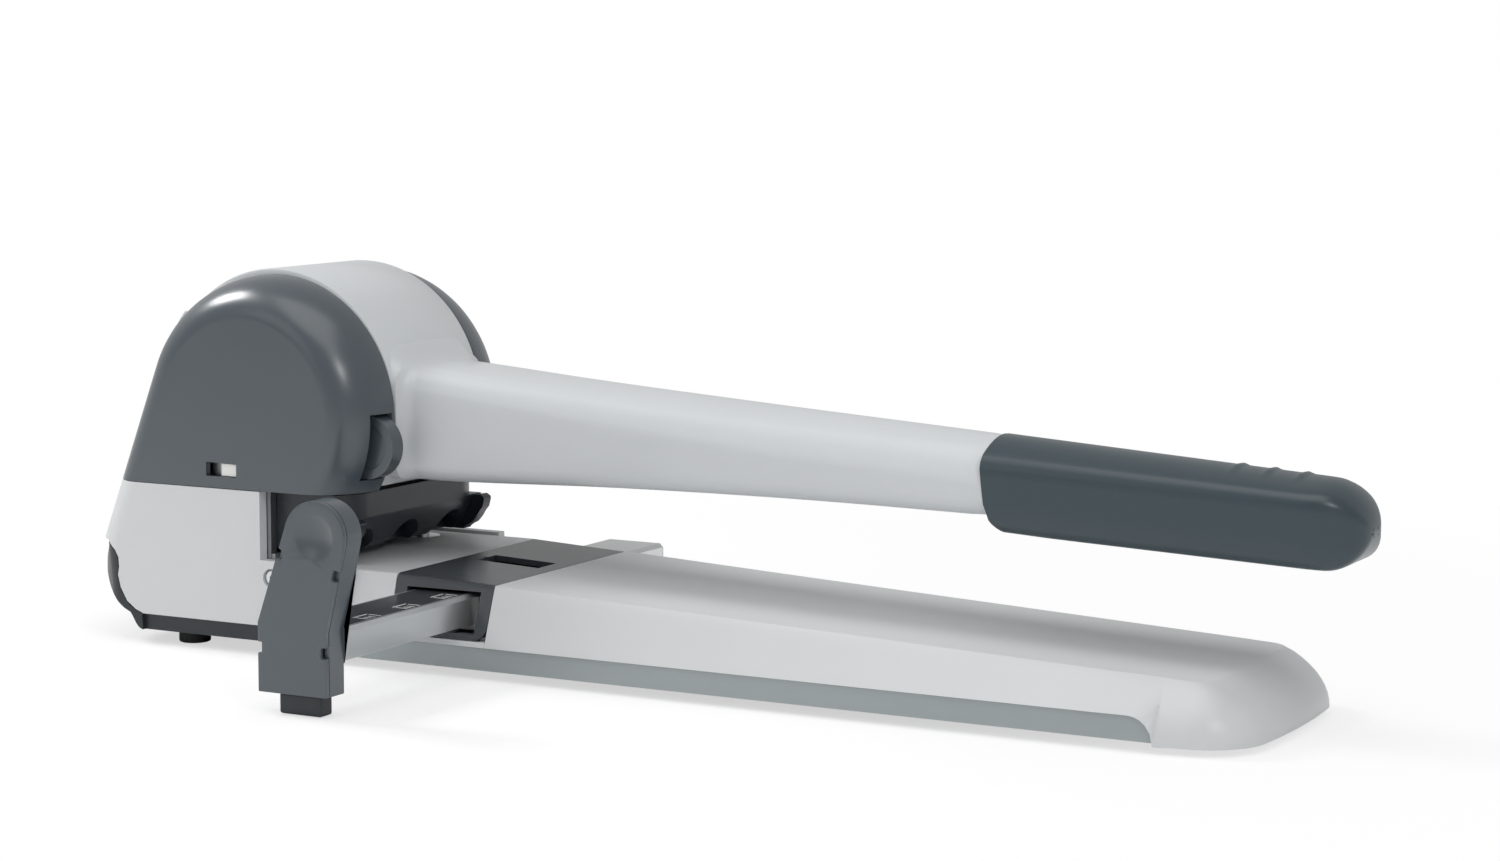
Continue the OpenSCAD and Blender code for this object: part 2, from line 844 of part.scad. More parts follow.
module gauge_bar() {
    color([0.78, 0.79, 0.8])
    difference() {
        along_x(-stop_x - stop_t / 2, bar_reach) bar_profile(0);
        along_x(-far, far) bar_profile(bar_wall);
        box([-far, bar_y0 + bar_chamfer + scale_inset, bar_top_z - scale_t],
            [scale_reach, bar_y1 - bar_chamfer / 2 - scale_inset / 2, bar_top_z + over]);
    }
}

module bar_scale() {
    color([0.16, 0.17, 0.19])
    box([-stop_x, bar_y0 + bar_chamfer + scale_inset + scale_gap, bar_top_z - scale_t],
        [scale_reach - scale_gap, bar_y1 - bar_chamfer / 2 - scale_inset / 2 - scale_gap, bar_top_z]);
}

module bar_end_plug() {
    color([0.16, 0.17, 0.19]) {
        along_x(bar_reach - bar_h, bar_reach) bar_profile(bar_wall + fit);
        along_x(bar_reach, bar_reach + plug_t) bar_profile(gap);
    }
}

// Tangent point on the circle at c with radius r, seen from p, on the chosen side
function tangent_point(p, c, r, side) =
    let (v = p - c, d = norm(v), a = atan2(v[1], v[0]) + side * acos(r / d))
    c + r * [cos(a), sin(a)];

// Outline of the side stop in Y and Z
module stop_outline(inset) {
    y0 = stop_y0 + inset;
    y1 = stop_y1 - inset;
    c = [stop_head_y, stop_head_z];
    r = stop_r - inset;
    front = [y0, stop_shoulder_z];
    rear = [y1, stop_shoulder_z + stop_shoulder_rise];
    translate(c) circle(r = r);
    polygon([[y0, stop_z0 + inset], [y1, stop_z0 + inset], rear,
        tangent_point(rear, c, r, 1), c, tangent_point(front, c, r, -1), front]);
}

module side_stop() {
    color([0.33, 0.36, 0.39])
    difference() {
        along_x(-stop_x - stop_t + stop_cover_t, -stop_x) stop_outline(0);
        along_x(-far, -stop_x - stop_wall) intersection() {
            stop_outline(stop_wall);
            union() {
                translate([stop_y0, bar_top_z + stop_wall]) square([bar_w * 2, axis_z]);
                translate([stop_y0, stop_z0 + stop_wall])
                    square([bar_w * 2, bar_z0 - 2 * stop_wall - stop_z0]);
            }
        }
        along_x(-stop_x - stop_t / 2 - fit, over - stop_x) offset_bar();
        along_x(-far, -stop_x - stop_t / 2) bar_profile(bar_wall);
    }
}

module offset_bar() {
    translate([bar_y0 - fit, bar_z0 - fit]) square([bar_w + 2 * fit, bar_h + 2 * fit]);
}

module stop_cover() {
    face_x = -stop_x - stop_t;
    color([0.36, 0.39, 0.42])
    difference() {
        along_x(face_x, face_x + stop_cover_t - gap / 2) stop_outline(0);
        rod_x(face_x - over, face_x + dimple_deep, stop_head_y, stop_head_z, dimple_r);
        for (z = [stop_z0 + stop_grip_low, stop_shoulder_z + stop_grip_high]) {
            rod_x(face_x - over, face_x + dimple_deep, stop_y0 + (z > stop_shoulder_z ? stop_grip_front : 0),
                z, stop_grip_r);
            rod_x(face_x - over, face_x + dimple_deep, stop_y1 - (z > stop_shoulder_z ? stop_grip_rear : 0),
                z, stop_grip_r);
        }
    }
}

module stop_foot() {
    color([0.14, 0.15, 0.17])
    box([-stop_x - stop_t + stop_cover_t, stop_foot_y0, gap],
        [-stop_x - stop_wall, stop_foot_y1, stop_z0]);
}

module plate_outline() {
    difference() {
        intersection() {
            union() {
                translate([cap_y, cap_z]) circle(r = plate_r);
                intersection() {
                    translate([cap_y, cap_z]) rotate(rear_tilt) translate([-plate_r, -2 * axis_z])
                        square([2 * plate_r, 2 * axis_z]);
                    translate([stop_plate_y1, 0]) square([plate_rear_y, cap_z]);
                }
                translate([plate_front_y, 0])
                    square([plate_rear_y - plate_front_y, plate_table_z]);
            }
            translate([plate_front_y, plate_low_z])
                square([plate_rear_y - plate_front_y, 2 * axis_z]);
        }
        translate([plate_front_y - over, plate_table_z])
            square([stop_plate_y1 - plate_front_y + over, seam_z - plate_table_z]);
    }
}

module side_plate() {
    color([0.6, 0.62, 0.65])
    difference() {
        union() {
            along_x(plate_x0, plate_x1) plate_outline();
            for (y = flange_y_list)
                box([flange_x0, y - flange_l / 2, plate_low_z],
                    [plate_x0 + over, y + flange_l / 2, plate_low_z + flange_t]);
        }
        rod_x(0, far, axis_y, axis_z, bush_r + fit);
        for (p = tie_places)
            screw_x_hole(plate_x1, p[0], p[1], big_r, big_head_r, big_head_h, plate_t + over);
        screw_x_hole(plate_x1, 0, die_screw_z, big_r, big_head_r, big_head_h, plate_t + over);
        rod_x(0, far, panel_screw_y, panel_screw_z, small_r + fit);
        for (y = flange_y_list)
            rod_z(0, plate_low_z + flange_t + over, (flange_x0 + plate_x0) / 2, y, small_r + fit);
    }
}

module side_plate_left() {
    mirror([1, 0, 0]) difference() {
        side_plate();
        rod_x(0, far, lock_guide_y, lock_pin_z, lock_guide_r + fit);
    }
}

module side_plate_right() {
    side_plate();
}

module tie_rods() {
    color([0.7, 0.71, 0.73])
    for (p = tie_places) difference() {
        rod_x(-plate_x0, plate_x0, p[0], p[1], tie_r);
        both_sides() rod_x(plate_x0 - thread_len - over, far, p[0], p[1], big_r + fit);
    }
}

module tie_screws() {
    color([0.35, 0.36, 0.38])
    both_sides() for (p = tie_places)
        screw_x(plate_x1, p[0], p[1], big_r, big_head_r, big_head_h, plate_t + thread_len);
}

module die_block() {
    color([0.5, 0.52, 0.55])
    difference() {
        box([-plate_x0, -die_block_half_y, die_block_z0],
            [plate_x0, die_block_half_y, plate_table_z]);
        both_sides() rod_z(0, far, pin_x, 0, die_bore_r);
        both_sides() rod_z(die_low_z, far, pin_x, 0, die_r + fit);
        both_sides() rod_x(plate_x0 - die_screw_bite, far, 0, die_screw_z, big_r + fit);
    }
}

module die_rings() {
    color([0.8, 0.81, 0.83])
    both_sides() difference() {
        rod_z(die_low_z, table_z, pin_x, 0, die_r);
        rod_z(0, far, pin_x, 0, pin_r + fit);
        rod_z(0, die_low_z + die_h / 2, pin_x, 0, die_bore_r);
    }
}

module die_screws() {
    color([0.35, 0.36, 0.38])
    both_sides() screw_x(plate_x1, 0, die_screw_z, big_r, big_head_r, big_head_h,
        plate_t + die_screw_bite - gap);
}

module back_stop() {
    color([0.6, 0.62, 0.65]) {
        box([-plate_x1, stop_plate_y0, table_z], [plate_x1, stop_plate_y1, hold_z]);
        box([gap + hold_end_t - hold_half, stop_plate_y0, table_z],
            [hold_half - hold_end_t - gap, stop_plate_y1, seam_z]);
    }
}

module rack_guides() {
    color([0.83, 0.78, 0.6])
    both_sides() box([rack_x0 + side_play / 2, rack_back_y - gap - guide_t, guide_z0],
        [plate_x0, rack_back_y - gap, guide_z1]);
}

// Section of the hold-down bar between its ears
module hold_section() {
    lip_y = hold_lip_y;
    polygon([[hold_front_y, hold_top_z], [hold_front_y, hold_bend_z],
        [(hold_front_y * 3 + lip_y) / 4 + hold_front_step,
            hold_bend_z - (hold_bend_z - hold_z) * lip_share],
        [(hold_front_y + lip_y) / 2 + hold_front_step,
            hold_bend_z - (hold_bend_z - hold_z) * lip_low_share],
        [lip_y, hold_z], [hold_rear_y, hold_z], [hold_rear_y, hold_z + hold_plate_t],
        [lip_y + hold_wall, hold_z + hold_plate_t],
        [hold_front_y + hold_wall, hold_bend_z], [hold_front_y + hold_wall, hold_top_z]]);
}

// Hooked ear at each end, from its lip down to the table side
module ear_profile() {
    polygon(concat([[hold_lip_y, hold_top_z], [hold_front_y, hold_top_z]],
        [for (p = ear_shares) [hold_front_y - ear_reach * p[0] + (p[0] < -1 ? ear_reach * (p[0] + 1) : 0),
            hold_z + (ear_z - hold_z) * p[1]]],
        [[0, hold_z], [0, hold_z + hold_plate_t],
        [hold_lip_y + hold_wall, hold_z + hold_plate_t], [hold_lip_y, hold_bend_z]]));
}

// Thin wall that closes each end behind its ear
module end_profile() {
    polygon([[hold_lip_y - over, hold_z], [hold_rear_y, hold_z], [hold_end_y, hold_end_z],
        [hold_end_y, hold_top_z], [hold_lip_y - over, hold_top_z]]);
}

// Plan of the bar's upper part, rounded at its corners to rise inside the caps
module hold_plan() {
    xs = [for (i = [0 : plan_steps]) cap_x0 + (hold_half - cap_x0) * i / plan_steps];
    ys = [for (x = xs) cap_y + gap + fit
        - sqrt(pow(cap_bore_at(x), 2) - pow(cap_z - seam_z, 2))];
    polygon(concat([for (i = [0 : plan_steps]) [xs[i], ys[i]]],
        [[hold_half, hold_end_y], [-hold_half, hold_end_y]],
        [for (i = [plan_steps : -1 : 0]) [-xs[i], ys[i]]]));
}

module hold_down_bar() {
    color([0.13, 0.14, 0.15])
    difference() {
        intersection() {
            union() {
                along_x(-hold_half, hold_half) hold_section();
                both_sides() along_x(hold_half - ear_t, hold_half) ear_profile();
                both_sides() along_x(hold_half - hold_end_t, hold_half) end_profile();
            }
            union() {
                translate([0, 0, ear_z]) linear_extrude(axis_z) hold_plan();
                box([-far, -far, 0], [far, far, ear_z]);
            }
        }
        for (x = arch_xs) rod_y(hold_front_y - over, hold_lip_y + hold_wall, x, hold_z, arch_r);
        both_sides() rod_z(0, far, pin_x, 0, pin_r + bush_wall + fit);
        both_sides() rod_z(0, far, bolt_x_place, bolt_y, big_r + fit);
    }
}

module guide_bushes() {
    color([0.75, 0.6, 0.3])
    both_sides() difference() {
        rod_z(hold_z + gap, hold_z + hold_plate_t + bush_rise, pin_x, 0, pin_r + bush_wall);
        rod_z(0, far, pin_x, 0, pin_r + fit);
    }
}

module clamp_springs() {
    color([0.7, 0.72, 0.75])
    both_sides() difference() {
        rod_z(hold_z + hold_plate_t, carrier_z0 - gap, pin_x, 0, spring_in_r + spring_wire);
        rod_z(0, far, pin_x, 0, spring_in_r);
    }
}

module lift_bolts() {
    color([0.35, 0.36, 0.38])
    both_sides() {
        rod_z(hold_z + gap, bolt_z1, bolt_x_place, bolt_y, big_r);
        translate([bolt_x_place, bolt_y, bolt_z1])
            cylinder(h = bolt_head_h, r = big_head_r, $fn = 6);
    }
}

module punch_carrier() {
    color([0.45, 0.47, 0.5])
    difference() {
        box([-rack_x0, carrier_y0, carrier_z0], [rack_x0, carrier_y1, carrier_z1]);
        both_sides() {
            rod_z(0, far, pin_x, 0, pin_r + fit);
            rod_z(carrier_z1 - pin_head_h, far, pin_x, 0, pin_head_r + fit);
            rod_z(0, far, bolt_x_place, bolt_y, big_r + fit);
            rod_y(-far, -pin_r - fit, pin_x, carrier_z0 + carrier_h / 3, small_r + fit);
            rod_x(rack_x0 - rack_bite, far, rack_screw_y, rack_screw_z, small_r + fit);
        }
    }
}

module pin_screws() {
    color([0.2, 0.2, 0.22])
    both_sides() rod_y(carrier_y0, -pin_r - fit, pin_x, carrier_z0 + carrier_h / 3, small_r);
}

module rack_screws() {
    color([0.2, 0.2, 0.22])
    both_sides() screw_x(rack_x1, rack_screw_y, rack_screw_z, small_r, small_head_r,
        small_head_h, rack_x1 - rack_x0 + rack_bite - gap);
}

module punch_pin() {
    color([0.82, 0.83, 0.85]) {
        rod_z(pin_low_z, carrier_z1, pin_x, 0, pin_r);
        rod_z(carrier_z1 - pin_head_h, carrier_z1, pin_x, 0, pin_head_r);
    }
}

module punch_pin_left() {
    mirror([1, 0, 0]) punch_pin();
}

module punch_pin_right() {
    punch_pin();
}

// Rack profile in Y and Z, with its pitch line at y = 0
module rack_profile() {
    root_y = -root_share * gear_module;
    root_half = tooth_half - root_y * tan(pressure_angle);
    tip_half = tooth_half - gear_module * tan(pressure_angle);
    translate([rack_back_y, carrier_z0]) square([rack_back, rack_z1 - carrier_z0]);
    for (k = [rack_first : rack_last]) translate([0, axis_z + (k + 0.5) * tooth_step])
        polygon([[root_y - gap, -root_half], [root_y, -root_half], [gear_module, -tip_half],
            [gear_module, tip_half], [root_y, root_half], [root_y - gap, root_half]]);
}

module rack() {
    color([0.52, 0.53, 0.56])
    difference() {
        along_x(rack_x0, rack_x1) rack_profile();
        screw_x_hole(rack_x1, rack_screw_y, rack_screw_z, small_r, small_head_r, small_head_h, far);
    }
}

module rack_left() {
    mirror([1, 0, 0]) rack();
}

module rack_right() {
    rack();
}

function involute_deg(a) = tan(a) * 180 / PI - a;
function flank_deg(r) = tooth_half / pitch_r * 180 / PI + involute_deg(pressure_angle)
    - involute_deg(acos(min(1, base_r / r)));

// One tooth pointing to -Y
module gear_tooth() {
    rs = [for (i = [0 : flank_steps]) base_r + (gear_tip_r - base_r) * i / flank_steps];
    low_a = flank_deg(base_r);
    low_r = gear_root_r - gap;
    up = [for (r = rs) [-r * cos(flank_deg(r)), r * sin(flank_deg(r))]];
    down = [for (i = [flank_steps : -1 : 0]) [up[i][0], -up[i][1]]];
    polygon(concat([[-low_r * cos(low_a), low_r * sin(low_a)]], up, down,
        [[-low_r * cos(low_a), -low_r * sin(low_a)]]));
}

module gear_profile() {
    pitch_deg = 360 / gear_teeth;
    a0 = (gear_first - 0.5) * pitch_deg;
    a1 = (gear_last + 0.5) * pitch_deg;
    for (i = [gear_first : gear_last]) rotate(-i * pitch_deg) gear_tooth();
    intersection() {
        circle(r = gear_root_r);
        polygon(concat([[0, 0]],
            [for (i = [0 : 6]) let (a = a0 + (a1 - a0) * i / 6) 2 * gear_root_r * [-cos(a), sin(a)]]));
    }
    circle(r = gear_hub_r);
}

module sector_gear() {
    color([0.52, 0.53, 0.56])
    difference() {
        union() {
            translate([0, axis_y, axis_z]) along_x(gear_x0, gear_x1) gear_profile();
            rod_x(gear_hub_x0, gear_x0 + over, axis_y, axis_z, gear_hub_r);
        }
        rod_x(0, far, axis_y, axis_z, shaft_r + fit);
        rod_z(0, far, drive_pin_x, axis_y, drive_pin_r + fit);
    }
}

// One lock hole meets the bolt with the lever down, the other with it fully up
module sector_gear_left() {
    mirror([1, 0, 0]) difference() {
        sector_gear();
        for (a = [0, lever_angle]) translate([0, axis_y, axis_z]) rotate([a, 0, 0])
            rod_x(0, far, lock_pin_y - axis_y, lock_pin_z - axis_z, lock_pin_r + gap);
    }
}

module sector_gear_right() {
    sector_gear();
}

module cross_shaft() {
    groove_x = plate_x1 + gap;
    color([0.72, 0.73, 0.75])
    difference() {
        rod_x(-shaft_half, shaft_half, axis_y, axis_z, shaft_r);
        both_sides() difference() {
            rod_x(groove_x, groove_x + groove_w, axis_y, axis_z, shaft_r + over);
            rod_x(groove_x - over, groove_x + groove_w + over, axis_y, axis_z, shaft_r - groove_depth);
        }
        both_sides() rod_z(0, far, drive_pin_x, axis_y, drive_pin_r + fit);
        both_sides() rod_z(0, far, drum_half - hub_len / 2, axis_y, drive_pin_r + fit);
    }
}

module shaft_bushes() {
    color([0.75, 0.6, 0.3])
    both_sides() difference() {
        union() {
            rod_x(plate_x0, plate_x1, axis_y, axis_z, bush_r);
            rod_x(plate_x0 - plate_gap / 2, plate_x0, axis_y, axis_z, bush_r + collar_step);
        }
        rod_x(0, far, axis_y, axis_z, shaft_r + fit);
    }
}

module shaft_clips() {
    groove_x = plate_x1 + gap;
    color([0.3, 0.31, 0.33])
    both_sides() difference() {
        rod_x(groove_x + fit, groove_x + groove_w - fit, axis_y, axis_z, clip_r);
        rod_x(0, far, axis_y, axis_z, shaft_r - groove_depth + fit);
    }
}

module drive_pins() {
    color([0.3, 0.31, 0.33])
    both_sides() {
        rod_z(axis_z - gear_hub_r + over, axis_z + gear_hub_r - over, drive_pin_x, axis_y, drive_pin_r);
        rod_z(axis_z - hub_r + over, axis_z + hub_r - over, drum_half - hub_len / 2, axis_y,
            drive_pin_r);
    }
}

// Cross-section of the lever: flat sides, soft lower edges and a crowned top
module lever_section(half, low, top, drop, c) {
    right = [for (u = crown_shares) [half * u, top - drop * u * u]];
    left = [for (i = [len(right) - 2 : -1 : 0]) [-right[i][0], right[i][1]]];
    polygon(concat([[-half, low + c], [-half + c * 0.3, low + c * 0.3], [-half + c, low],
        [half - c, low], [half - c * 0.3, low + c * 0.3], [half, low + c]], right, left));
}

// Section of the lever at station i, drawn in by inset
module lever_slab(i, inset) {
    s = lever_shares[i];
    slab_y(lever_y0 + (grip_y0 - lever_y0) * s, slice)
        lever_section(lever_root_half + (lever_half - lever_root_half) * s - inset,
            lever_z_low + lever_arch * arch_shares[i] + inset,
            lever_z_root + (lever_z_grip - lever_z_root) * s - inset,
            ridge_drop * drop_shares[i], lever_round);
}

module fillet_profile() {
    z_crown = lever_z_root + (lever_z_grip - lever_z_root) * fillet_share - fillet_sink;
    rise = z_crown + fillet_r - axis_z;
    fy = axis_y - sqrt(pow(drum_r + fillet_r, 2) - rise * rise);
    touch = [axis_y + (fy - axis_y) * drum_r / (drum_r + fillet_r),
        axis_z + rise * drum_r / (drum_r + fillet_r)];
    difference() {
        polygon([[fy, z_crown - lever_wall], [fy, z_crown + slice], touch,
            [touch[0] + drum_wall, touch[1] - drum_wall], [fy + fillet_r, z_crown - fillet_r]]);
        translate([fy, z_crown + fillet_r]) circle(r = fillet_r);
    }
}

// Line where the grip meets the lever, moved towards the tip by shift
function grip_edge(shift) = [for (p = grip_edge_shares)
    [grip_y0 - shift + grip_nose * p[0], grip_low_z + (lever_z_grip - grip_low_z) * p[1]]];

module grip_side(shift) {
    edge = grip_edge(shift);
    polygon(concat([[edge[0][0], axis_z + drum_r]], edge, [[edge[3][0], 0], [-far * 2, 0],
        [-far * 2, axis_z + drum_r]]));
}

module tongue(inset) {
    hull() {
        slab_y(grip_y0 + lever_round, slice) lever_section(lever_half - inset,
            lever_z_low + lever_arch + inset, lever_z_grip - inset, ridge_drop, lever_round);
        slab_y(grip_y0 - tongue_len + inset, slice) lever_section(lever_half - inset,
            grip_end_low_z + lever_round + inset, grip_end_z - inset, ridge_drop * 0.75,
            lever_round);
    }
}

module lever() {
    color([0.8, 0.81, 0.83])
    difference() {
        union() {
            sector_x(axis_y, axis_z, hood_rear, hood_front)
                translate([drum_r - drum_wall, -drum_half]) square([drum_wall, 2 * drum_half]);
            both_sides() sector_x(axis_y, axis_z, web_rear, web_front)
                translate([shaft_r + web_step, drum_half - web_t])
                    square([drum_r - drum_wall / 2 - shaft_r - web_step, web_t]);
            both_sides() rod_x(drum_half - hub_len, drum_half, axis_y, axis_z, hub_r);
            difference() {
                union() {
                    hull() {
                        lever_slab(0, 0);
                        lever_slab(1, 0);
                    }
                    hull() {
                        lever_slab(1, 0);
                        lever_slab(2, 0);
                    }
                    hull() {
                        lever_slab(2, 0);
                        lever_slab(3, 0);
                    }
                    hull() {
                        lever_slab(3, 0);
                        lever_slab(4, 0);
                    }
                    along_x(fillet_inset - lever_root_half, lever_root_half - fillet_inset) fillet_profile();
                }
                rod_x(-far, far, axis_y, axis_z, drum_r - drum_wall);
                along_x(-far, far) grip_side(-gap);
                hull() {
                    slab_y(lever_y0 - 2 * fillet_r, slice) lever_section(
                        lever_root_half - 2 * lever_wall, lever_z_low + lever_arch + lever_wall,
                        lever_z_root - 2 * lever_wall, ridge_drop / 2, lever_round);
                    slab_y(grip_y0 + 2 * fillet_r, slice) lever_section(
                        lever_half - lever_wall, lever_z_low + lever_arch + lever_wall,
                        lever_z_grip - lever_wall, ridge_drop, lever_round);
                }
            }
            tongue(lever_wall);
        }
        rod_x(-far, far, axis_y, axis_z, shaft_r + fit);
        both_sides() rod_z(0, far, drum_half - hub_len / 2, axis_y, drive_pin_r + fit,
            $fn = 24);
    }
}

// Section of the grip at station i, drawn in towards its rounded end
module grip_slab(i) {
    s = grip_shares[i][0];
    e = grip_shares[i][1] * grip_round * 0.6;
    slab_y(min(grip_y0 - grip_len * s + slice, grip_y0), slice)
        lever_section(lever_half + grip_step - e, grip_low_z + (grip_end_low_z - grip_low_z) * s + e,
            lever_z_grip + (grip_end_z - lever_z_grip) * s - e,
            ridge_drop * (1 - 0.45 * s) * (1 - grip_shares[i][1] * 0.6), lever_round);
}

module grip() {
    color([0.16, 0.24, 0.27])
    difference() {
        intersection() {
            union() {
                hull() {
                    translate([0, grip_nose, 0]) grip_slab(0);
                    grip_slab(1);
                }
                hull() {
                    grip_slab(1);
                    grip_slab(2);
                }
                hull() {
                    grip_slab(2);
                    grip_slab(3);
                }
                hull() {
                    grip_slab(3);
                    grip_slab(4);
                }
                for (i = [0 : 2])
                    rod_x(-rib_half, rib_half, grip_y0 - grip_len * 0.64 - i * rib_step,
                        lever_z_grip + (grip_end_z - lever_z_grip) * (0.64 + i * rib_step / grip_len)
                            + rib_rise - rib_r, rib_r);
            }
            along_x(-far, far) grip_side(0);
        }
        tongue(lever_wall - gap);
    }
}

module cap() {
    color([0.33, 0.36, 0.39])
    difference() {
        intersection() {
            union() {
                head_round(0);
                head_rear(0);
            }
            box([cap_x0, -far, seam_z], [far, far, far]);
        }
        head_round(cap_wall);
        head_rear(cap_wall);
        box([panel_x0, window_y0, window_z0], [far, window_y1, window_z1]);
    }
}

module cap_left() {
    mirror([1, 0, 0]) difference() {
        cap();
        box([knob_x0 - gap, -far, knob_z - knob_r - gap],
            [knob_x0 + knob_t + lock_travel + 2 * gap, axis_y - knob_r, knob_z + knob_r + gap]);
    }
}

module cap_right() {
    cap();
}

module cap_clips() {
    color([0.9, 0.9, 0.9])
    both_sides() {
        box([plate_x1, window_y0 + gap, seam_z + clip_foot],
            [head_half - cap_wall - gap, window_y0 + clip_w, window_z1 + clip_foot]);
        box([plate_x1, window_y0 + gap, window_z0 + gap],
            [head_half - cap_wall / 3, window_y0 + clip_w, window_z1 - gap]);
    }
}

module side_panel() {
    color([0.82, 0.83, 0.83])
    difference() {
        intersection() {
            lower_form(0, panel_front_y);
            box([cap_x0, panel_front_y, panel_low_z], [far, far, seam_z - gap]);
        }
        lower_form(panel_wall, panel_front_y - over);
        along_x(-over, far) boot_side(gap);
        box([0, -far, notch_z], [far, notch_y, far]);
        screw_x_hole(head_half, panel_screw_y, panel_screw_z, small_r, small_head_r + panel_recess,
            small_head_h + panel_recess, panel_wall + over);
    }
}

module side_panel_left() {
    mirror([1, 0, 0]) side_panel();
}

module side_panel_right() {
    side_panel();
}

module panel_screws() {
    color([0.75, 0.76, 0.78])
    both_sides() screw_x(head_half - panel_recess, panel_screw_y, panel_screw_z, small_r, small_head_r,
        small_head_h, head_half - panel_recess - plate_x0 - gap);
}

// Profile across the rear cover, as radius from the shaft and place across
module cover_band() {
    translate([drum_r + cover_gap, -drum_half]) square([cover_t, 2 * drum_half]);
}

module rear_cover() {
    color([0.82, 0.83, 0.83])
    intersection() {
        union() {
            sector_x(axis_y, axis_z, rear_tilt, cover_top) cover_band();
            translate([0, axis_y, axis_z]) rotate([rear_tilt, 0, 0]) rotate([180, 0, 90])
                linear_extrude(axis_z) cover_band();
            both_sides() translate([0, axis_y, axis_z]) rotate([rear_tilt, 0, 0])
                rotate([180, 0, 90]) translate([0, 0, drum_r / 2]) linear_extrude(axis_z)
                    translate([drum_r + cover_gap - flange_deep, drum_half - flange_w])
                        square([flange_deep + over, flange_w]);
        }
        box([-far, 0, boot_top_z + gap], [far, far, far]);
    }
}

module lock_knob() {
    color([0.33, 0.36, 0.39])
    mirror([1, 0, 0]) intersection() {
        difference() {
            rod_x(knob_x0, knob_x0 + knob_t, knob_y, knob_z, knob_r);
            for (s = [-1, 1]) rod_x(s > 0 ? knob_x0 + knob_t - over / 2 : 0,
                s > 0 ? far : knob_x0 + over / 2, knob_y, knob_z, knob_r * 0.7);
        }
        box([0, -far, 0], [far, knob_back_y, far]);
    }
}

module lock_slide() {
    z0 = knob_z - knob_r / 4;
    color([0.6, 0.62, 0.65])
    mirror([1, 0, 0]) difference() {
        union() {
            box([lock_x0, knob_back_y, z0], [lock_x0 + lock_t, knob_back_y + hold_wall, lock_z1]);
            box([lock_x0, knob_back_y, lock_z0], [lock_x0 + lock_t, lock_end_y, lock_z1]);
            rod_x(lock_x0 - lock_t, lock_x0 + lock_t, lock_guide_y, lock_pin_z, lock_guide_r + lock_boss);
            rod_x(lock_x0, gear_x0 - gap, lock_pin_y, lock_pin_z, lock_pin_r);
        }
        rod_x(0, far, lock_guide_y, lock_pin_z, lock_guide_r + fit);
    }
}

module lock_guide_pin() {
    color([0.7, 0.71, 0.73])
    mirror([1, 0, 0]) rod_x(lock_x0 - lock_t, plate_x1, lock_guide_y, lock_pin_z, lock_guide_r);
}

module chip_tray() {
    color([0.2, 0.22, 0.24])
    difference() {
        union() {
            box([-tray_half, tray_y0, tray_z0], [tray_half, tray_y1, tray_z1]);
            both_sides() intersection() {
                lower_form(0, pan_front_y);
                box([0, tray_y1 - over, tray_z0], [tray_half + tray_wall / 4, far, tray_z1]);
            }
        }
        box([tray_wall - tray_half, tray_y0 + tray_wall, tray_z0 + tray_wall],
            [tray_half - tray_wall, tray_y1 - tray_wall, tray_z1 + over]);
    }
}

base_channel();
base_pan();
base_plate();
base_screws();
rear_feet();
middle_foot();
front_foot();
arm_shell();
shell_screws();
guide_insert();
bar_guide();
bar_spring();
gauge_bar();
bar_scale();
bar_end_plug();
side_stop();
stop_cover();
stop_foot();
side_plate_left();
side_plate_right();
tie_rods();
tie_screws();
die_block();
die_rings();
die_screws();
back_stop();
hold_down_bar();
guide_bushes();
clamp_springs();
lift_bolts();
punch_carrier();
rack_left();
rack_right();
punch_pin_left();
punch_pin_right();
pin_screws();
rack_screws();
rack_guides();
cross_shaft();
shaft_bushes();
shaft_clips();
sector_gear_left();
sector_gear_right();
drive_pins();
lever();
grip();
cap_left();
cap_right();
cap_clips();
lock_knob();
lock_slide();
lock_guide_pin();
side_panel_left();
side_panel_right();
panel_screws();
rear_cover();
chip_tray();
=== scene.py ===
import math

import bmesh
import bpy
from mathutils import Matrix, Vector


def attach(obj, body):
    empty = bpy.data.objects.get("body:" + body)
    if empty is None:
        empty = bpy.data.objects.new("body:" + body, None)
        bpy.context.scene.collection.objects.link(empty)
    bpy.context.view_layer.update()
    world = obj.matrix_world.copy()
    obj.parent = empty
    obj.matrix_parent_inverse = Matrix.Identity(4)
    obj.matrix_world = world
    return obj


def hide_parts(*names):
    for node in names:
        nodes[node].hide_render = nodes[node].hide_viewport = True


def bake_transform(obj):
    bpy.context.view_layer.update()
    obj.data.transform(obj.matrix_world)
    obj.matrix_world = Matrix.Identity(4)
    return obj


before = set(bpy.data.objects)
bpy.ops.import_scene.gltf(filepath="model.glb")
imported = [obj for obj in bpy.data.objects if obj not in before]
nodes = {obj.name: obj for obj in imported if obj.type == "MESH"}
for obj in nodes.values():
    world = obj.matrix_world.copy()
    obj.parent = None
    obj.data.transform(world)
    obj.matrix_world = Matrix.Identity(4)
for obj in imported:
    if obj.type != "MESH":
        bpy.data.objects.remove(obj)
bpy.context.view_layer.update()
print("stage: packed model loaded,", len(nodes), "nodes")

# Camera, at the photograph's place and angle
cameraSettings = {
    "place": (-1.18187, -0.81631, 0.25992),
    "right": (0.46852825, -0.88344293, 0.00314214),
    "up": (0.10090364, 0.05704632, 0.99325937),
    "focalPixels": 3234.65,
    "imageWidth": 1500,
    "sensor": 36.0,
    "nearest": 0.05,
    "farthest": 30,
}


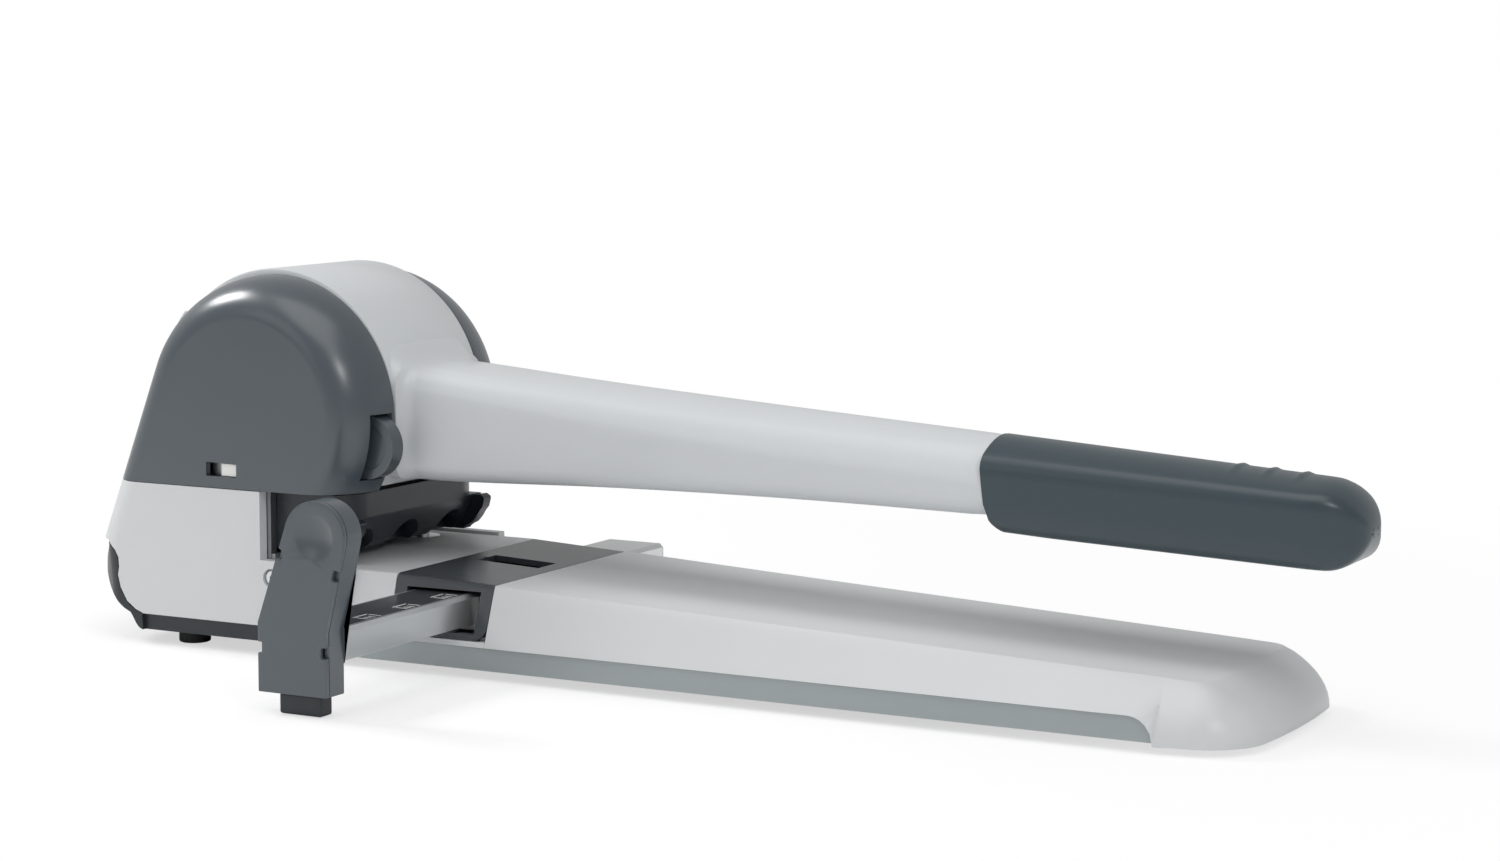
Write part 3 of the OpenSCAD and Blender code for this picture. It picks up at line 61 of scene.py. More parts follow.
def makeCamera(s):
    data = bpy.data.cameras.new("photoCamera")
    data.sensor_width = s["sensor"]
    data.lens = s["sensor"] * s["focalPixels"] / s["imageWidth"]
    data.clip_start = s["nearest"]
    data.clip_end = s["farthest"]
    camera = bpy.data.objects.new("photoCamera", data)
    bpy.context.scene.collection.objects.link(camera)
    right = Vector(s["right"])
    up = Vector(s["up"])
    back = right.cross(up)
    turn = Matrix((right, up, back)).transposed().to_4x4()
    camera.matrix_world = Matrix.Translation(s["place"]) @ turn
    bpy.context.scene.camera = camera


makeCamera(cameraSettings)

# Room: a white sky, four soft lamps and a floor that keeps a faint shadow
roomSettings = {
    "skyStrength": 0.47,
    "floorColour": (0.97, 0.97, 0.97, 1),
    "floorRough": 0.9,
    "floorShine": 0.1,
    "floorSize": 12,
    # metres from the middle at which the floor's own shading fades into plain white
    "shadowReach": 0.25,
    "shadowEnd": 0.75,
    # share of plain white close to the part
    "nearWhite": 0.6,
    "lamps": [
        # name, place, aim, size, watts
        ("topSoftbox", (-0.5, -0.35, 1.8), (0.0, -0.15, 0.06), 1.6, 11),
        ("backSoftbox", (-0.05, 1.2, 1.25), (0.0, 0.03, 0.12), 0.45, 14),
        ("leftSoftbox", (-1.7, 0.7, 0.9), (0.0, 0.0, 0.08), 0.9, 1.5),
        ("frontSoftbox", (-1.2, -1.8, 1.4), (0.0, -0.1, 0.08), 0.38, 7),
    ],
}


def makeSky(s):
    # Plain white to the camera, softer to everything that the sky lights
    scene = bpy.context.scene
    scene.view_settings.view_transform = "Standard"
    world = bpy.data.worlds.new("whiteRoom")
    scene.world = world
    world.use_nodes = True
    tree = world.node_tree
    tree.nodes.clear()
    output = tree.nodes.new("ShaderNodeOutputWorld")
    path = tree.nodes.new("ShaderNodeLightPath")
    seen = tree.nodes.new("ShaderNodeMath")
    seen.operation = "MAXIMUM"
    tree.links.new(path.outputs["Is Camera Ray"], seen.inputs[0])
    tree.links.new(path.outputs["Is Transmission Ray"], seen.inputs[1])
    mix = tree.nodes.new("ShaderNodeMixShader")
    tree.links.new(seen.outputs[0], mix.inputs["Fac"])
    for socket, strength in ((1, s["skyStrength"]), (2, 1)):
        sky = tree.nodes.new("ShaderNodeBackground")
        sky.inputs["Color"].default_value = (1, 1, 1, 1)
        sky.inputs["Strength"].default_value = strength
        tree.links.new(sky.outputs[0], mix.inputs[socket])
    tree.links.new(mix.outputs[0], output.inputs["Surface"])


def makeLamps(s):
    for name, place, aim, size, watts in s["lamps"]:
        data = bpy.data.lights.new(name, "AREA")
        data.shape = "SQUARE"
        data.size = size
        data.energy = watts
        lamp = bpy.data.objects.new(name, data)
        bpy.context.scene.collection.objects.link(lamp)
        lamp.location = place
        lamp.rotation_euler = (Vector(aim) - Vector(place)).to_track_quat("-Z", "Y").to_euler()


def makeFloorPaper(s):
    # Shaded paper near the part that fades into plain white for the camera
    material = bpy.data.materials.new("floorPaper")
    material.use_nodes = True
    tree = material.node_tree
    shader = tree.nodes["Principled BSDF"]
    shader.inputs["Base Color"].default_value = s["floorColour"]
    shader.inputs["Roughness"].default_value = s["floorRough"]
    shader.inputs["Specular IOR Level"].default_value = s["floorShine"]
    path = tree.nodes.new("ShaderNodeLightPath")
    place = tree.nodes.new("ShaderNodeTexCoord")
    far = tree.nodes.new("ShaderNodeVectorMath")
    far.operation = "LENGTH"
    fade = tree.nodes.new("ShaderNodeMapRange")
    fade.interpolation_type = "SMOOTHSTEP"
    fade.inputs["From Min"].default_value = s["shadowReach"]
    fade.inputs["From Max"].default_value = s["shadowEnd"]
    fade.inputs["To Min"].default_value = s["nearWhite"]
    seen = tree.nodes.new("ShaderNodeMath")
    seen.operation = "MULTIPLY"
    plain = tree.nodes.new("ShaderNodeEmission")
    plain.inputs["Strength"].default_value = 1
    mix = tree.nodes.new("ShaderNodeMixShader")
    tree.links.new(place.outputs["Object"], far.inputs[0])
    tree.links.new(far.outputs["Value"], fade.inputs["Value"])
    tree.links.new(fade.outputs["Result"], seen.inputs[0])
    tree.links.new(path.outputs["Is Camera Ray"], seen.inputs[1])
    tree.links.new(seen.outputs[0], mix.inputs["Fac"])
    tree.links.new(shader.outputs[0], mix.inputs[1])
    tree.links.new(plain.outputs[0], mix.inputs[2])
    tree.links.new(mix.outputs[0], tree.nodes["Material Output"].inputs["Surface"])
    return material


def makeFloor(s):
    mesh = bpy.data.meshes.new("floor")
    bm = bmesh.new()
    bmesh.ops.create_grid(bm, x_segments=2, y_segments=2, size=s["floorSize"] / 2)
    bm.to_mesh(mesh)
    bm.free()
    mesh.materials.append(makeFloorPaper(s))
    floor = bpy.data.objects.new("floor", mesh)
    bpy.context.scene.collection.objects.link(floor)


makeSky(roomSettings)
makeLamps(roomSettings)
makeFloor(roomSettings)
print("stage: camera, lamps and floor")


def newGroup(name, inputs, outputs):
    tree = bpy.data.node_groups.new(name, "ShaderNodeTree")
    for label, kind, value in inputs:
        socket = tree.interface.new_socket(name=label, in_out="INPUT", socket_type=kind)
        socket.default_value = value
    for label, kind in outputs:
        tree.interface.new_socket(name=label, in_out="OUTPUT", socket_type=kind)
    return tree, tree.nodes.new("NodeGroupInput"), tree.nodes.new("NodeGroupOutput")


def addNode(tree, kind, **values):
    node = tree.nodes.new(kind)
    for key, value in values.items():
        setattr(node, key, value)
    return node


def mathNode(tree, operation, a, b):
    node = addNode(tree, "ShaderNodeMath", operation=operation)
    for i, value in enumerate((a, b)):
        if isinstance(value, (int, float)):
            node.inputs[i].default_value = value
        else:
            tree.links.new(value, node.inputs[i])
    return node.outputs[0]


# Grain of every finish: scales are per metre, the depth of the bump is in metres
grainSettings = {
    "wideScale": 24, "wideDetail": 3, "fineDetail": 4, "fineRough": 0.6,
    "wideShare": 0.6, "fineShare": 0.4, "bumpDepth": 0.0004,
}


def makeSurfaceGroup(s):
    # Soft mottling, fine grain and a height for the bump, on the piece's own coordinates
    tree, given, out = newGroup(
        "surfaceGrain",
        [("Colour", "NodeSocketColor", (0.5, 0.5, 0.5, 1)), ("Mottle", "NodeSocketFloat", 0.04),
         ("Grain Scale", "NodeSocketFloat", 900), ("Roughness", "NodeSocketFloat", 0.4),
         ("Spread", "NodeSocketFloat", 0.08), ("Stretch", "NodeSocketVector", (1, 1, 1))],
        [("Colour", "NodeSocketColor"), ("Roughness", "NodeSocketFloat"),
         ("Height", "NodeSocketFloat")])
    place = addNode(tree, "ShaderNodeTexCoord")
    wide = addNode(tree, "ShaderNodeTexNoise")
    wide.inputs["Scale"].default_value = s["wideScale"]
    wide.inputs["Detail"].default_value = s["wideDetail"]
    tree.links.new(place.outputs["Object"], wide.inputs["Vector"])
    stretch = addNode(tree, "ShaderNodeVectorMath", operation="MULTIPLY")
    tree.links.new(place.outputs["Object"], stretch.inputs[0])
    tree.links.new(given.outputs["Stretch"], stretch.inputs[1])
    fine = addNode(tree, "ShaderNodeTexNoise")
    fine.inputs["Detail"].default_value = s["fineDetail"]
    fine.inputs["Roughness"].default_value = s["fineRough"]
    tree.links.new(stretch.outputs[0], fine.inputs["Vector"])
    tree.links.new(given.outputs["Grain Scale"], fine.inputs["Scale"])
    both = mathNode(tree, "ADD", mathNode(tree, "MULTIPLY", wide.outputs["Fac"], s["wideShare"]),
                    mathNode(tree, "MULTIPLY", fine.outputs["Fac"], s["fineShare"]))
    # both runs from 0 to 1, so that it swings about its middle
    around = mathNode(tree, "SUBTRACT", both, 0.5)
    swing = mathNode(tree, "MULTIPLY", around, given.outputs["Mottle"])
    gain = mathNode(tree, "ADD", mathNode(tree, "MULTIPLY", swing, 2.0), 1.0)
    tint = addNode(tree, "ShaderNodeVectorMath", operation="SCALE")
    tree.links.new(given.outputs["Colour"], tint.inputs[0])
    tree.links.new(gain, tint.inputs["Scale"])
    tree.links.new(tint.outputs[0], out.inputs["Colour"])
    rough = mathNode(tree, "ADD", given.outputs["Roughness"],
                     mathNode(tree, "MULTIPLY", around, given.outputs["Spread"]))
    tree.links.new(rough, out.inputs["Roughness"])
    tree.links.new(fine.outputs["Fac"], out.inputs["Height"])
    return tree


surfaceGroup = makeSurfaceGroup(grainSettings)


def linearColour(r, g, b):
    # Colour of a finish, 0 to 255 as on a screen, made linear
    def linear(v):
        v = v / 255
        return v / 12.92 if v <= 0.04045 else ((v + 0.055) / 1.055) ** 2.4
    return (linear(r), linear(g), linear(b), 1)


def makeMaterial(name, colour, rough, grain=900, mottle=0.05, spread=0.1, bump=0.04,
                 stretch=(1, 1, 1), metal=0.0, coat=0.0, coatRough=0.05, specular=0.5,
                 anisotropy=0.0):
    material = bpy.data.materials.new(name)
    material.use_nodes = True
    tree = material.node_tree
    shader = tree.nodes["Principled BSDF"]
    shader.inputs["Metallic"].default_value = metal
    shader.inputs["Specular IOR Level"].default_value = specular
    shader.inputs["Coat Weight"].default_value = coat
    shader.inputs["Coat Roughness"].default_value = coatRough
    shader.inputs["Anisotropic"].default_value = anisotropy
    grainNode = addNode(tree, "ShaderNodeGroup", node_tree=surfaceGroup)
    grainNode.inputs["Colour"].default_value = linearColour(*colour)
    grainNode.inputs["Mottle"].default_value = mottle
    grainNode.inputs["Grain Scale"].default_value = grain
    grainNode.inputs["Roughness"].default_value = rough
    grainNode.inputs["Spread"].default_value = spread
    grainNode.inputs["Stretch"].default_value = stretch
    tree.links.new(grainNode.outputs["Colour"], shader.inputs["Base Color"])
    tree.links.new(grainNode.outputs["Roughness"], shader.inputs["Roughness"])
    if bump:
        bumpNode = addNode(tree, "ShaderNodeBump")
        bumpNode.inputs["Strength"].default_value = bump
        bumpNode.inputs["Distance"].default_value = grainSettings["bumpDepth"]
        tree.links.new(grainNode.outputs["Height"], bumpNode.inputs["Height"])
        tree.links.new(bumpNode.outputs["Normal"], shader.inputs["Normal"])
    return material


# Finishes, with the colours as they look on a screen
finishSettings = {
    "armPaint": {"colour": (205, 207, 208), "rough": 0.36, "grain": 1400, "bump": 0.05},
    "panelPaint": {"colour": (208, 210, 211), "rough": 0.42, "grain": 1400, "bump": 0.05},
    "drumPaint": {"colour": (204, 207, 209), "rough": 0.33, "grain": 700, "bump": 0.02,
                  "coat": 0.12, "coatRough": 0.2},
    "channelSteel": {"colour": (158, 165, 166), "rough": 0.42, "grain": 500,
                     "stretch": (1, 0.06, 1), "mottle": 0.1, "bump": 0.05, "metal": 0.3},
    "slatePlastic": {"colour": (66, 75, 82), "rough": 0.3, "grain": 1800, "bump": 0.05,
                     "mottle": 0.06, "coat": 0.7, "coatRough": 0.27},
    "gripPlastic": {"colour": (40, 58, 66), "rough": 0.36, "grain": 1600, "bump": 0.09,
                    "mottle": 0.06, "coat": 0.4, "coatRough": 0.3},
    "insertPlastic": {"colour": (62, 66, 71), "rough": 0.24, "grain": 1600, "bump": 0.05},
    "panPlastic": {"colour": (36, 41, 46), "rough": 0.4, "grain": 1600, "bump": 0.08},
    "holdPaint": {"colour": (34, 40, 47), "rough": 0.33, "grain": 1500, "bump": 0.05},
    "barAluminium": {"colour": (214, 216, 217), "rough": 0.3, "grain": 260, "stretch": (0.05, 1, 1),
                     "mottle": 0.14, "bump": 0.12, "metal": 0.85},
    "scalePrint": {"colour": (46, 49, 53), "rough": 0.3, "grain": 1500, "bump": 0.03},
    "plainSteel": {"colour": (176, 179, 182), "rough": 0.36, "grain": 420, "stretch": (1, 1, 0.08),
                   "mottle": 0.12, "bump": 0.06, "metal": 1.0},
    "darkSteel": {"colour": (84, 86, 90), "rough": 0.38, "grain": 700, "mottle": 0.15, "bump": 0.08,
                  "metal": 0.9},
    "brightSteel": {"colour": (206, 208, 211), "rough": 0.22, "grain": 600, "mottle": 0.1,
                    "bump": 0.03, "metal": 1.0},
    "bronze": {"colour": (188, 150, 96), "rough": 0.34, "grain": 900, "mottle": 0.18, "bump": 0.08,
               "metal": 1.0},
    "whitePlastic": {"colour": (232, 232, 230), "rough": 0.4, "grain": 1500, "bump": 0.04},
    "footRubber": {"colour": (30, 31, 33), "rough": 0.75, "grain": 1300, "mottle": 0.15,
                   "bump": 0.18},
}
finish = {name: makeMaterial(name, **look) for name, look in finishSettings.items()}
print("stage:", len(finish), "finishes")

# Which finish each CAD node takes, and how round its edges are, in metres
nodeLooks = {
    "base_channel": ("channelSteel", 0.0004), "base_pan": ("panPlastic", 0.0006),
    "base_plate": ("plainSteel", 0.0003), "base_screws": ("brightSteel", 0),
    "rear_feet": ("footRubber", 0.0008), "middle_foot": ("footRubber", 0.0008),
    "front_foot": ("footRubber", 0.0008), "arm_shell": ("armPaint", 0.0006),
    "shell_screws": ("brightSteel", 0), "guide_insert": ("insertPlastic", 0.0005),
    "bar_guide": ("whitePlastic", 0.0003), "bar_spring": ("brightSteel", 0),
    "gauge_bar": ("barAluminium", 0.0002), "bar_scale": ("scalePrint", 0),
    "bar_end_plug": ("panPlastic", 0.0003), "side_stop": ("slatePlastic", 0.0006),
    "stop_cover": ("slatePlastic", 0.0006), "stop_foot": ("panPlastic", 0.001),
    "side_plate_left": ("plainSteel", 0), "side_plate_right": ("plainSteel", 0),
    "tie_rods": ("plainSteel", 0), "tie_screws": ("darkSteel", 0),
    "die_block": ("plainSteel", 0.0003), "die_rings": ("brightSteel", 0.0002),
    "die_screws": ("darkSteel", 0), "back_stop": ("plainSteel", 0.0003),
    "hold_down_bar": ("holdPaint", 0.0008), "guide_bushes": ("bronze", 0),
    "clamp_springs": ("brightSteel", 0), "lift_bolts": ("darkSteel", 0.0002),
    "punch_carrier": ("plainSteel", 0.0004), "rack_left": ("darkSteel", 0),
    "rack_right": ("darkSteel", 0), "punch_pin_left": ("brightSteel", 0),
    "punch_pin_right": ("brightSteel", 0), "pin_screws": ("darkSteel", 0),
    "rack_screws": ("darkSteel", 0), "rack_guides": ("whitePlastic", 0.0002),
    "cross_shaft": ("plainSteel", 0), "shaft_bushes": ("bronze", 0),
    "shaft_clips": ("darkSteel", 0), "sector_gear_left": ("darkSteel", 0),
    "sector_gear_right": ("darkSteel", 0), "drive_pins": ("darkSteel", 0),
    "lever": ("drumPaint", 0), "grip": ("gripPlastic", 0),
    "cap_left": ("slatePlastic", 0.0008), "cap_right": ("slatePlastic", 0.0008),
    "cap_clips": ("whitePlastic", 0.0002), "lock_knob": ("slatePlastic", 0.0008),
    "lock_slide": ("plainSteel", 0), "lock_guide_pin": ("plainSteel", 0),
    "side_panel_left": ("panelPaint", 0.0006), "side_panel_right": ("panelPaint", 0.0006),
    "panel_screws": ("brightSteel", 0), "rear_cover": ("panelPaint", 0.0006),
    "chip_tray": ("panPlastic", 0.0004),
}


# Edges: angles in degrees, distances in metres
edgeSettings = {
    "weld": 0.000004, "cutGap": 0.000001, "flatBelow": 0.4, "bevelFrom": 38, "bevelSteps": 2,
    "smoothBelow": 32, "faceWeight": 50,
}


def geometryGroup(name):
    tree = bpy.data.node_groups.new(name, "GeometryNodeTree")
    tree.interface.new_socket(name="Geometry", in_out="INPUT", socket_type="NodeSocketGeometry")
    tree.interface.new_socket(name="Geometry", in_out="OUTPUT", socket_type="NodeSocketGeometry")
    return tree, tree.nodes.new("NodeGroupInput"), tree.nodes.new("NodeGroupOutput")


def makeJoinGroup():
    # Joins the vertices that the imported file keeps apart
    tree, given, out = geometryGroup("joinFaces")
    clear = tree.nodes.new("GeometryNodeRemoveAttribute")
    clear.inputs["Name"].default_value = "custom_normal"
    merge = tree.nodes.new("GeometryNodeMergeByDistance")
    merge.inputs["Distance"].default_value = edgeSettings["weld"]
    tree.links.new(given.outputs[0], clear.inputs["Geometry"])
    tree.links.new(clear.outputs["Geometry"], merge.inputs["Geometry"])
    tree.links.new(merge.outputs["Geometry"], out.inputs[0])
    return tree


def makeSmoothGroup(degrees):
    # Smooth faces with a sharp edge wherever they meet at more than this angle
    tree, given, out = geometryGroup("smoothFaces" + str(degrees))
    faces = tree.nodes.new("GeometryNodeSetShadeSmooth")
    faces.domain = "FACE"
    faces.inputs["Shade Smooth"].default_value = True
    edges = tree.nodes.new("GeometryNodeSetShadeSmooth")
    edges.domain = "EDGE"
    edges.inputs["Shade Smooth"].default_value = False
    angle = tree.nodes.new("GeometryNodeInputMeshEdgeAngle")
    sharp = tree.nodes.new("FunctionNodeCompare")
    sharp.data_type = "FLOAT"
    sharp.operation = "GREATER_THAN"
    sharp.inputs[1].default_value = math.radians(degrees)
    tree.links.new(angle.outputs["Unsigned Angle"], sharp.inputs[0])
    tree.links.new(sharp.outputs["Result"], edges.inputs["Selection"])
    tree.links.new(given.outputs[0], faces.inputs["Geometry"])
    tree.links.new(faces.outputs["Geometry"], edges.inputs["Geometry"])
    tree.links.new(edges.outputs["Geometry"], out.inputs[0])
    return tree


joinGroup = makeJoinGroup()
smoothGroup = makeSmoothGroup(edgeSettings["smoothBelow"])


def softenEdges(piece, width, join=True, weigh=False):
    if join:
        step = piece.modifiers.new("join", "NODES")
        step.node_group = joinGroup
        flat = piece.modifiers.new("flat", "DECIMATE")
        flat.decimate_type = "DISSOLVE"
        flat.angle_limit = math.radians(edgeSettings["flatBelow"])
    if width:
        bevel = piece.modifiers.new("edges", "BEVEL")
        bevel.width = width
        bevel.segments = edgeSettings["bevelSteps"]
        bevel.limit_method = "ANGLE"
        bevel.angle_limit = math.radians(edgeSettings["bevelFrom"])
        bevel.use_clamp_overlap = True
    smooth = piece.modifiers.new("smooth", "NODES")
    smooth.node_group = smoothGroup
    if width or weigh:
        weighted = piece.modifiers.new("weighted", "WEIGHTED_NORMAL")
        weighted.keep_sharp = True
        weighted.weight = edgeSettings["faceWeight"]


for name, (look, width) in nodeLooks.items():
    piece = nodes[name]
    piece.data.materials.clear()
    piece.data.materials.append(finish[look])
    softenEdges(piece, width)
print("stage: CAD nodes dressed")

mm = 0.001


def newPiece(name, bm, look):
    # Turns a drawn skin into an object with its finish
    bmesh.ops.recalc_face_normals(bm, faces=bm.faces)
    mesh = bpy.data.meshes.new(name)
    bm.to_mesh(mesh)
    bm.free()
    mesh.materials.append(finish[look])
    piece = bpy.data.objects.new(name, mesh)
    bpy.context.scene.collection.objects.link(piece)
    return piece


def linkPiece(name, bm, look, body, node=None, width=0, weigh=False):
    # A rigid piece on one body, in the place of a CAD node where one is named
    piece = newPiece(name, bm, look)
    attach(piece, body)
    if node:
        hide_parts(node)
    softenEdges(piece, width, join=False, weigh=weigh)


def ramp(start, end, at):
    # 0 up to the start, 1 from the end on, and straight between them
    return min(max((at - start) / (end - start), 0), 1)


def ease(t):
    # The same way from 0 to 1 with soft ends
    return t * t * (3 - 2 * t)


def spline(knots, values, at):
    # Smooth curve through the values given at the knots
    at = min(max(at, knots[0]), knots[-1])
    i = max(k for k in range(len(knots) - 1) if knots[k] <= at)
    slopes = []
    for k in (i, i + 1):
        a, b = max(k - 1, 0), min(k + 1, len(knots) - 1)
        slopes.append((values[b] - values[a]) / (knots[b] - knots[a]))
    span = knots[i + 1] - knots[i]
    t = (at - knots[i]) / span
    return (values[i] * (1 + 2 * t) * (1 - t) ** 2 + slopes[0] * span * t * (1 - t) ** 2
            + values[i + 1] * t * t * (3 - 2 * t) + slopes[1] * span * t * t * (t - 1))


def arcRise(way, radius):
    # Rise of a fillet of this radius after going this far into it
    way = min(max(way, 0), radius)
    return radius - math.sqrt(radius * radius - way * way)


# Section of the lever and the grip: shares of its flat side, of its ridge and of its crown
sectionSettings = {
    "footShare": 0.5, "cornerSteps": 5, "sideShares": (0.3, 0.6, 0.85, 1),
    "ridgeShares": (0.25, 0.5, 0.75), "ridgeIn": 0.15, "ridgeDown": 0.05,
    "crownShares": (1, 0.85, 0.7, 0.5, 0.25),
}


def bodyRing(half, low, top, drop, corner, ridge):
    # Points once round the section: flat sides, soft edges and a crowned top
    s = sectionSettings
    crest = top - drop
    side = [(0, low), (half * s["footShare"], low), (half - corner, low)]
    for k in range(1, s["cornerSteps"] + 1):
        a = math.radians(90 * k / s["cornerSteps"])
        side.append((half - corner + corner * math.sin(a), low + corner - corner * math.cos(a)))
    start = low + corner
    end = crest - ridge
    side += [(half, start + (end - start) * share) for share in s["sideShares"]]
    inner = half - ridge
    innerZ = top - drop * (inner / half) ** 2
    # the ridge bends from the side to the crown round this control point
    bendX = half - ridge * s["ridgeIn"]
    bendZ = crest - ridge * s["ridgeDown"]
    for t in s["ridgeShares"]:
        side.append(((1 - t) ** 2 * half + 2 * t * (1 - t) * bendX + t * t * inner,
                     (1 - t) ** 2 * end + 2 * t * (1 - t) * bendZ + t * t * innerZ))
    for share in s["crownShares"]:
        x = inner * share
        side.append((x, top - drop * (x / half) ** 2))
    side.append((0, top))
    return side + [(-x, z) for x, z in side[-2:0:-1]]


def pointRing(bm, points):
    # A closed ring through points in millimetres: its vertices and its edges, always in one order
    made = bmesh.ops.create_circle(bm, cap_ends=False, segments=len(points), radius=1)
    for vert, point in zip(made["verts"], points):
        vert.co = Vector(point) * mm
    edges = dict.fromkeys(edge for vert in made["verts"] for edge in vert.link_edges)
    return made["verts"], list(edges)


def loftRings(rings):
    # One closed skin through rings of points, which are all in the same order
    bm = bmesh.new()
    loops = [pointRing(bm, ring)[1] for ring in rings]
    for a, b in zip(loops, loops[1:]):
        bmesh.ops.bridge_loops(bm, edges=a + b)
    for loop in (loops[0], loops[-1]):
        bmesh.ops.edgeloop_fill(bm, edges=loop)
    return bm


def weldedCopy(node):
    # The CAD node's own mesh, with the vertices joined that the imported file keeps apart
    bm = bmesh.new()
    bm.from_mesh(nodes[node].data)
    bmesh.ops.remove_doubles(bm, verts=bm.verts, dist=edgeSettings["weld"])
    return bm


def joinFlatFaces(bm):
    bmesh.ops.dissolve_limit(bm, angle_limit=math.radians(edgeSettings["flatBelow"]),
                             verts=bm.verts, edges=bm.edges)


def cutPlane(bm, place, normal, clear=False):
    # Cuts the mesh at a plane, and clears what lies behind it if asked
    bmesh.ops.bisect_plane(bm, geom=bm.verts[:] + bm.edges[:] + bm.faces[:],
                           dist=edgeSettings["cutGap"], plane_co=place, plane_no=normal,
                           clear_inner=clear)


# Arm, in millimetres: one skin from the guide insert to the rounded tip
armSettings = {
    "rearY": -99, "bendY": -50, "creaseEndY": -411, "tipY": -431,
    "tableHalf": 56, "creaseHalf": 46.5, "tableTop": 41, "creaseTop": 25.6,
    "lowHalf": 63.7, "rimHalf": 61.6, "edgeZ": 14, "rimZ": 3, "wall": 2.5,
    "rimRound": 29, "creaseRound": 9, "rimBow": 1.5, "rollZ": 15.5, "edge": 1.3,
    "noseStart": -384, "noseEnd": -394, "blendStart": -374, "blendEnd": -404,
    "narrowEnd": -403, "creaseMix": (0.55, 0.45), "creaseDip": 0.12, "rearOverlap": 0.1,
    "sideYs": [-99, -110, -125, -145, -170, -200, -230, -260, -290, -315, -335, -350, -362, -372,
               -380, -384, -385, -387, -389, -391, -393, -394, -397, -400, -403],
    "cornerSteps": 14, "frontSteps": 8, "levels": 9,
}


def armTop(s, y):
    # Height of the arm's flat top, which falls towards the tip
    return (s["tableTop"] + (s["creaseTop"] - s["tableTop"])
            * (s["bendY"] - y) / (s["bendY"] - s["creaseEndY"]))


def cornerPath(half, endY, lastY, radius, bow, steps, frontSteps):
    # Right half of the outline in plan: the corner's arc, then half of the bowed front
    radius = min(radius, lastY - endY, half)
    points = [(half, lastY)]
    for k in range(1, steps + 1):
        a = math.radians(90 * k / steps)
        points.append((half - radius + radius * math.cos(a),
                       endY + radius - radius * math.sin(a)))
    startX = half - radius
    for k in range(1, frontSteps + 1):
        x = startX * (1 - k / frontSteps)
        points.append((x, endY - bow * (1 - (x / startX) ** 2)))
    return points


def armPaths(s, inset):
    # Foot and crease of each place along the right side and round the tip to its middle
    feet, crests, rolls = [], [], []
    for y in s["sideYs"]:
        way = (s["bendY"] - y) / (s["bendY"] - s["creaseEndY"])
        half = s["tableHalf"] + (s["creaseHalf"] - s["tableHalf"]) * way
        crests.append((half - inset, y, armTop(s, y) - inset))
        nose = ramp(s["noseStart"], s["noseEnd"], y)
        low = s["rimZ"] + (s["edgeZ"] - s["rimZ"]) * math.sqrt(1 - nose * nose)
        narrow = ease(ramp(s["noseEnd"], s["narrowEnd"], y))
        foot = s["lowHalf"] + (s["rimHalf"] - s["lowHalf"]) * narrow
        feet.append((foot - inset, y, low))
        rolls.append(ease(ramp(s["blendStart"], s["blendEnd"], y)))
    last = s["sideYs"][-1]
    front = cornerPath(s["rimHalf"] - inset, s["tipY"] + s["rimBow"] + inset, last, s["rimRound"],
                       s["rimBow"], s["cornerSteps"], s["frontSteps"])
    crown = cornerPath(crests[-1][0], s["creaseEndY"] + inset, last, s["creaseRound"], 0,
                       s["cornerSteps"], s["frontSteps"])
    for (x, y), (u, v) in zip(front[1:], crown[1:]):
        feet.append((x, y, s["rimZ"]))
        crests.append((u, v, armTop(s, v) - inset))
        rolls.append(1)
    return feet, crests, rolls


def armLoop(s, inset, level):
    # Closed outline at one level, from the crease at 0 down to the foot at 1
    half = []
    for (bx, by, bz), (tx, ty, tz), roll in zip(*armPaths(s, inset)):
        mx = (bx + tx) / 2 * (1 - roll) + bx * roll
        my = (by + ty) / 2 * (1 - roll) + by * roll
        mz = (bz + tz) / 2 * (1 - roll) + (s["rollZ"] - inset) * roll
        a, b, c = (1 - level) ** 2, 2 * level * (1 - level), level ** 2
        half.append((a * tx + b * mx + c * bx, a * ty + b * my + c * by, a * tz + b * mz + c * bz))
    return half + [(-x, y, z) for x, y, z in half[-2::-1]]


def makeArm(s):
    steps = [i / s["levels"] for i in range(s["levels"] + 1)]
    outer = [armLoop(s, 0, level) for level in steps]
    inner = [armLoop(s, s["wall"], level) for level in steps]
    # the crease is rounded: a ring inside it, itself a little lower, and a ring outside it
    middleY = s["creaseEndY"] / 2
    crown = []
    for x, y, z in outer[0]:
        inward = Vector((x, y - middleY, 0)).normalized() * s["edge"]
        inY = y
        if y < s["noseEnd"]:
            inY = max(y - inward.y, s["creaseEndY"] + s["edge"])
        crown.append((x - inward.x, inY, z))
    keep, give = s["creaseMix"]
    dip = Vector((0, 0, -s["creaseDip"]))
    outer[0] = [tuple(Vector(a) * keep + Vector(b) * give + dip) for a, b in zip(outer[0], crown)]
    near = [tuple(Vector(a) + (Vector(b) - Vector(a)).normalized() * s["edge"])
            for a, b in zip(outer[0], outer[1])]
    bm = loftRings([crown, outer[0], near] + outer[1:] + inner[::-1])
    linkPiece("armDeck", bm, "armPaint", "frame", "arm_shell", weigh=True)


def makeArmRear(s):
    # The head end of the arm as in the CAD, cut off under the guide insert
    bm = weldedCopy("arm_shell")
    cutPlane(bm, (0, (s["rearY"] + s["rearOverlap"]) * mm, 0), (0, 1, 0), clear=True)
    bmesh.ops.holes_fill(bm, edges=[edge for edge in bm.edges if edge.is_boundary])
    joinFlatFaces(bm)
    linkPiece("armTable", bm, "armPaint", "frame", "arm_shell", width=0.0006)


makeArm(armSettings)
makeArmRear(armSettings)
print("stage: arm")

